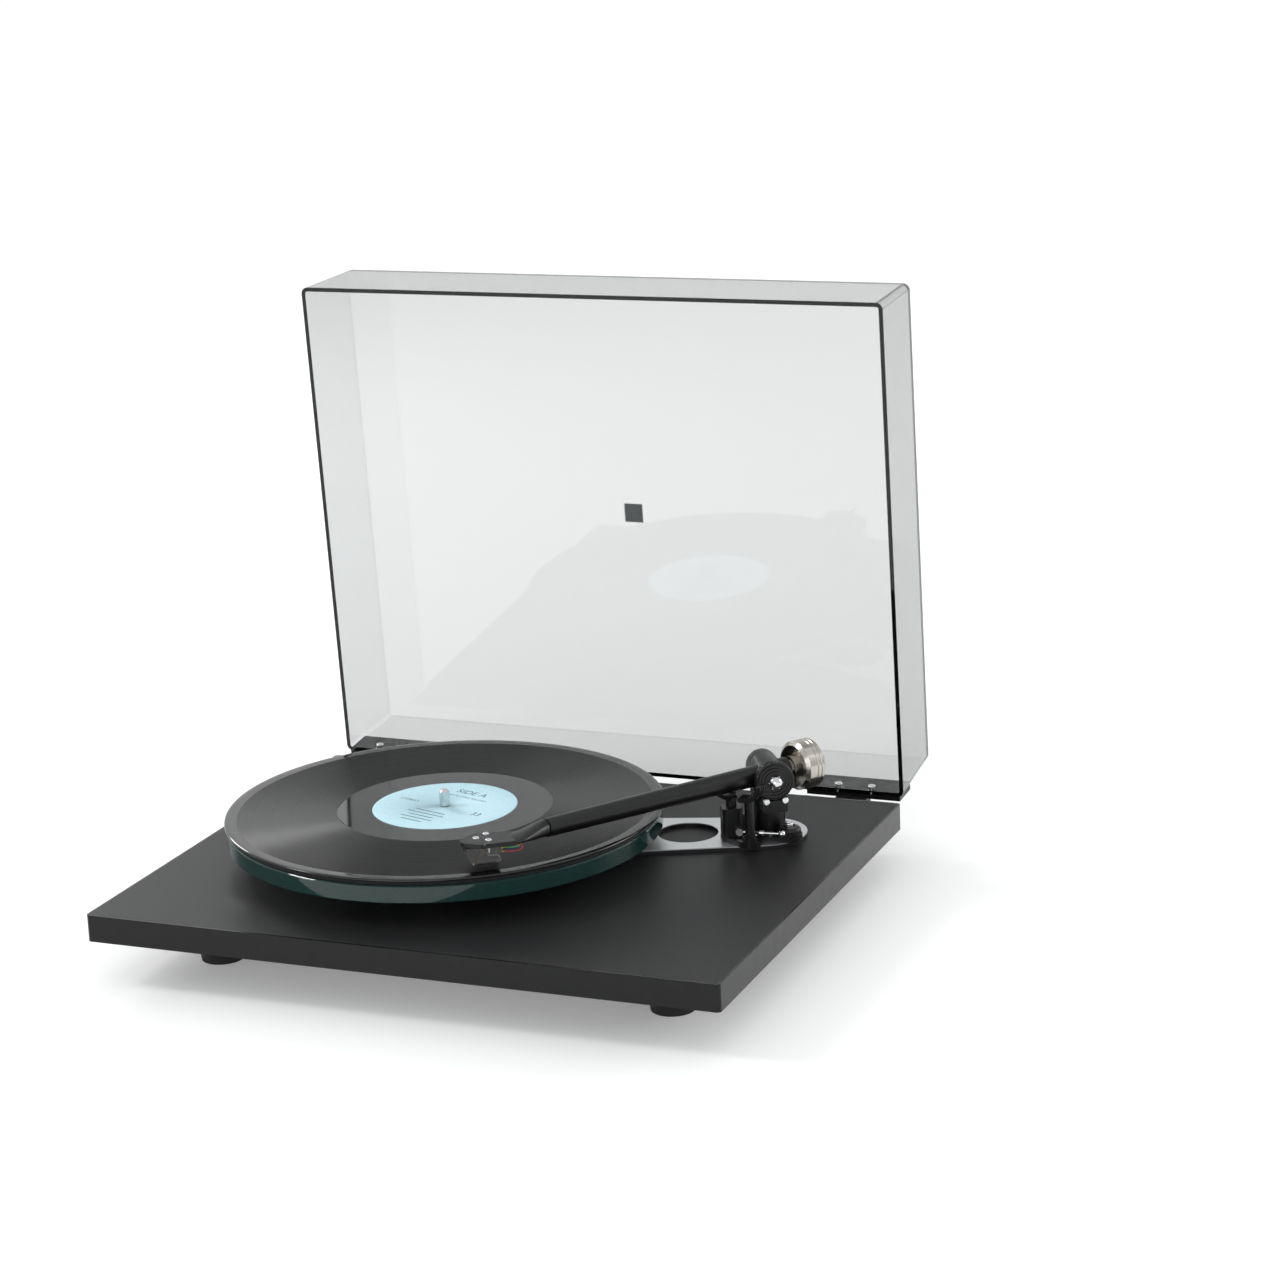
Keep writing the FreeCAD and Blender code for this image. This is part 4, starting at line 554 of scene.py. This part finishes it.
def to_label(points):
    """Turn flat label points in millimetres into place, a hair above the paper."""
    flat = np.asarray(points, float)
    c, s = math.cos(LABEL_TURN), math.sin(LABEL_TURN)
    x, y = flat[:, 0] * c - flat[:, 1] * s, flat[:, 0] * s + flat[:, 1] * c
    z = np.full(len(flat), label_high + 0.00003) + flat[:, 2] * MM
    return np.stack([SPINDLE.x + x * MM, SPINDLE.y + y * MM, z], -1)


def printed_word(words, size, x, y, number):
    """Generic words as a flat mesh on the label."""
    curve = bpy.data.curves.new("words", "FONT")
    curve.body, curve.size, curve.align_x = words, size, "CENTER"
    holder = bpy.data.objects.new("words", curve)
    bpy.context.scene.collection.objects.link(holder)
    bpy.context.view_layer.update()
    mesh = bpy.data.meshes.new_from_object(holder.evaluated_get(bpy.context.evaluated_depsgraph_get()))
    bpy.data.objects.remove(holder)
    points = np.empty(len(mesh.vertices) * 3)
    mesh.vertices.foreach_get("co", points)
    points = to_label(points.reshape(-1, 3) + np.array([x, y, 0.0]))
    mesh.vertices.foreach_set("co", points.reshape(-1))
    mesh.update()
    mesh.materials.clear()
    mesh.materials.append(ink)
    piece = bpy.data.objects.new(f"label_words_{number}", mesh)
    bpy.context.scene.collection.objects.link(piece)
    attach(piece, "platter")


for number, (words, size, x, y) in enumerate(PRINT):
    printed_word(words, size, x, y, number)


def printed_line(width, y, number):
    """Short inked bar with slightly wavy edges, as small type looks from afar."""
    x = np.linspace(-width / 2, width / 2, 60)
    wave = 0.25 * np.sin(x * 2.6 + number) * np.sin(x * 0.9)
    edge = np.stack([np.stack([x, y + 0.45 + wave, 0 * x], -1), np.stack([x, y - 0.45 + wave, 0 * x], -1)])
    grid = to_label(edge.reshape(-1, 3)).reshape(2, -1, 3)[::-1]
    piece = skin(f"label_line_{number}", grid, ink, close_columns=False)
    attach(piece, "platter")


for number, (width, y) in enumerate(TRACKS):
    printed_line(width, y, number)

# %% [markdown]
# ## Cartridge
#
# The body is smoked polycarbonate, so what is inside shows: a copper-gold coil, its core and a
# folded screening plate. From its four pins, thin leads loop back into the headshell. Their colours
# are the standard code: white and blue for the left channel, red and green for the right.

# %% Cartridge insides
def at(ahead, aside, height):
    """Point from the stylus, in millimetres ahead, aside and above the record."""
    base = Vector((STYLUS.x, STYLUS.y, RECORD_HIGH))
    return np.array(base + AHEAD * ahead * MM + ASIDE * aside * MM + Vector((0, 0, height * MM)))


def helix(start, end, radius, turns, steps=240):
    """Coil of wire about the line from start to end."""
    t = np.linspace(0, 1, steps)
    axis = (end - start) / np.linalg.norm(end - start)
    side = np.cross(axis, [0.1, 0.2, 0.97])
    side /= np.linalg.norm(side)
    up = np.cross(side, axis)
    a = 2 * np.pi * turns * t
    return start + t[:, None] * (end - start) + radius * (np.cos(a)[:, None] * side + np.sin(a)[:, None] * up)


gold, shader = finish("gold_plated_brass", "#e2b566", 0.20, metallic=1.0)
uneven(gold, shader, 0.8, 0.14, 0.28)
coil_wire, shader = finish("enamelled_copper", "#c9972e", 0.28, metallic=1.0)
mottle(coil_wire, shader, "#b98422", "#dbae48", 0.6)

for side in (-1, 1):
    start, end = at(-1.5, side * 3.0, 4.6), at(-5.5, side * 3.0, 12.5)
    coil = weld(skin(f"coil_{'near' if side > 0 else 'far'}",
                     tube(helix(start, end, 1.7 * MM, 16), 0.22 * MM, 8), coil_wire))
    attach(coil, "arm")


def folded_plate():
    """Screening plate: a strip bent like a Z, with thickness from its own normal."""
    spine = np.array([[-8.0, 13.0], [-8.6, 9.4], [-9.2, 9.0], [-15.0, 8.6], [-15.6, 8.2], [-16.0, 4.6]])
    t = np.linspace(0, len(spine) - 1, 60)
    a = np.interp(t, np.arange(len(spine)), spine[:, 0])
    h = np.interp(t, np.arange(len(spine)), spine[:, 1])
    da, dh = np.gradient(a), np.gradient(h)
    length = np.hypot(da, dh)
    na, nh = -dh / length * 0.25, da / length * 0.25
    ring = []
    for offset, width in ((1, -4.5), (1, 4.5), (-1, 4.5), (-1, -4.5)):
        ring.append(np.stack([a + offset * na, np.full_like(a, width), h + offset * nh], -1))
    rows = np.stack(ring, 1)
    origin, e1, e2, e3 = at(0, 0, 0), at(1, 0, 0), at(0, 1, 0), at(0, 0, 1)
    grid = (origin + rows[..., :1] * (e1 - origin) + rows[..., 1:2] * (e2 - origin)
            + rows[..., 2:] * (e3 - origin))
    caps = [np.repeat(grid[k:k + 1].mean(1, keepdims=True), 4, axis=1) for k in (0, -1)]
    return np.concatenate([caps[0], grid, caps[1]], axis=0)


plate = weld(skin("screen_plate", folded_plate(), nickel, smooth=False))
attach(plate, "arm")

# %% Cartridge leads and clips
LEADS = [("white", "#e8e6e0", -4.2, 11.9), ("blue", "#3c4a86", -1.4, 10.1),
         ("green", "#63b56a", 1.4, 11.9), ("red", "#b5343c", 4.2, 10.1)]
PIN_BACK = -17.0                                # mm behind the stylus, where the pins come out
CLIP_LENGTH = 3.2                               # mm
CLIP_STEPS = 24                                 # rings along a clip
LEAD_STEPS = 90                                 # rings along a lead
LEAD_R = 0.42                                   # mm


def spline(points, steps=60):
    """Smooth curve through points: a cubic between neighbours with averaged tangents."""
    p = np.asarray(points, float)
    tangent = np.gradient(p, axis=0)
    t = np.linspace(0, len(p) - 1 - 1e-9, steps)
    k = t.astype(int)
    f = (t - k)[:, None]
    h00, h10 = 2 * f ** 3 - 3 * f ** 2 + 1, f ** 3 - 2 * f ** 2 + f
    h01, h11 = -2 * f ** 3 + 3 * f ** 2, f ** 3 - f ** 2
    return h00 * p[k] + h10 * tangent[k] + h01 * p[k + 1] + h11 * tangent[k + 1]


clips, leads = [], []
for number, (name, code, aside, up) in enumerate(LEADS):
    pvc, shader = finish(f"{name}_pvc", code, 0.42)
    uneven(pvc, shader, 2.0, 0.36, 0.5)
    back = PIN_BACK - CLIP_LENGTH
    clip_path = spline([at(PIN_BACK + 0.3, aside, up), at(PIN_BACK - 1.5, aside, up),
                        at(back, aside, up)], CLIP_STEPS)
    t = np.linspace(0, 1, CLIP_STEPS)
    clip_radius = (0.42 + 0.22 * (np.abs(t - 0.55) < 0.22) - 0.12 * (t > 0.9)) * MM
    clips.append(weld(skin(f"clip_{name}", tube(clip_path, clip_radius, 16), gold)))
    route = [at(back + 0.4, aside, up), at(back - 3.0, aside * 1.05, up - 0.4),
             at(back - 7.5 - number * 0.7, aside * 0.8 + 1.5, up + 0.3),
             at(back - 9.5 - number * 0.6, aside * 0.5 + 2.0, up + 2.6),
             at(back - 8.0, aside * 0.35 + 1.2, 13.7), at(back - 5.8, aside * 0.3 + 0.6, 14.4)]
    leads.append(weld(skin(f"lead_{name}", tube(spline(route, LEAD_STEPS), LEAD_R * MM, 12), pvc)))
for piece in clips:
    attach(piece, "arm")
    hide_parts("cartridge_pins")
for piece in leads:
    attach(piece, "arm")
    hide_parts("cartridge_leads")
print("leads:", len(leads))

# %% [markdown]
# ## The lid's plaque
#
# A square recess is moulded into the middle of the panel. A thin grey-green plate lies in it, with a
# little air all round. Its corners are stated for the shut lid, by their distance from the hinge, and
# turned by the angle theta at which the frame holds the lid open: y' = y cos theta + z sin theta and
# z' = z cos theta - y sin theta.

# %% Plaque
PLAQUE_HALF, PLAQUE_T = 7.0, 0.35               # mm
PLAQUE_PLACE = (-186.4, 75.15)                  # mm, behind and above the hinge when shut
HINGE = Vector(joint("lid_hinge")["pos_m"])
LID_OPEN = math.radians(86.3)

etched, shader = finish("etched_grey_plate", "#46504f", 0.30, Specular_IOR_Level=0.5)
mottle(etched, shader, "#3b4544", "#566361", 1.2)
dimple(etched, shader, 0.7, 0.02)


def plaque():
    """Closed square plate: middle, rim and middle again, with the rim bevelled."""
    rows = []
    for half, height in ((0.0, 0.0), (PLAQUE_HALF, 0.0), (PLAQUE_HALF, PLAQUE_T - 0.1),
                         (PLAQUE_HALF - 0.1, PLAQUE_T), (0.0, PLAQUE_T)):
        corners = [(-half, -half), (half, -half), (half, half), (-half, half)]
        rows.append([(x, PLAQUE_PLACE[0] + y, PLAQUE_PLACE[1] + height) for x, y in corners])
    x, y, z = np.moveaxis(np.array(rows), -1, 0)
    c, s = math.cos(LID_OPEN), math.sin(LID_OPEN)
    return np.stack([x * MM, HINGE.y + (y * c + z * s) * MM, HINGE.z + (z * c - y * s) * MM], -1)


plate = weld(skin("lid_plaque", plaque(), etched, smooth=False))
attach(plate, "lid")

# %% [markdown]
# ## Floor and light
#
# A pale sweep, flat under the player and curving up far behind it, has no edge to draw the eye. It
# glows faintly of its own, with no lamp below it: painted light that keeps the shadow soft and pale.
# Two small lamps on the left each draw a bright wedge across the grooves, because a ring of grooves
# shines only where its direction is square to the line halfway between lamp and eye. A larger lamp
# on the right lights the edge of the glass, a broad one lights the wall and one fills in the front.

# %% Floor
def sweep():
    """Floor that turns up into a wall: straight, a quarter circle, straight."""
    bend, back, high = 1.2, 2.4, 3.5
    a = np.linspace(0, np.pi / 2, 24)
    y = np.concatenate([[-4.0], back + bend * np.sin(a), [back + bend]])
    z = np.concatenate([[0.0], bend * (1 - np.cos(a)), [high]])
    x = np.linspace(-5.0, 5.0, 3)
    return np.stack(np.broadcast_arrays(x[None, :], y[:, None], z[:, None]), -1)


# The sweep's emission is painted light: it glows with no lamp behind it and lightens the shadow under the
# player.
glowing_floor, shader = finish("glowing_floor_sheet", "#f4f4f3", 0.9, Emission_Color=colour("#ffffff"),
                      Emission_Strength=0.22)
mottle(glowing_floor, shader, "#f3f3f2", "#f5f5f4", 3.0)
skin("floor", sweep()[:, ::-1], glowing_floor, close_columns=False)


# %% Light
def lamp(name, place, size, watts, target, code="#ffffff"):
    """Square soft lamp that faces a target."""
    light = bpy.data.lights.new(name, "AREA")
    light.shape, light.size, light.energy = "SQUARE", size, watts
    light.color = colour(code)[:3]
    holder = bpy.data.objects.new(name, light)
    bpy.context.scene.collection.objects.link(holder)
    holder.location = place
    holder.rotation_euler = (Vector(target) - Vector(place)).to_track_quat("-Z", "Y").to_euler()


lamp("window", (-2.0, 1.25, 1.2), 0.5, 13, (0, 0, 0.08))
lamp("left", (-1.8, -0.65, 1.7), 0.5, 13, (0, 0, 0.08))
lamp("right", (2.3, 1.5, 1.1), 1.0, 16, (0, 0, 0.1))
lamp("wall", (0.6, 1.4, 3.0), 2.4, 6, (0.2, 3.2, 0.8))
lamp("front", (0.2, -3.0, 0.5), 2.0, 18, (0, 0, 0.0))

world = bpy.data.worlds.new("studio")
bpy.context.scene.world = world
world.use_nodes = True
world.node_tree.nodes["Background"].inputs["Color"].default_value = colour("#f7f9fb")
world.node_tree.nodes["Background"].inputs["Strength"].default_value = 0.78
bpy.context.scene.view_settings.view_transform = "Standard"

bpy.context.view_layer.update()
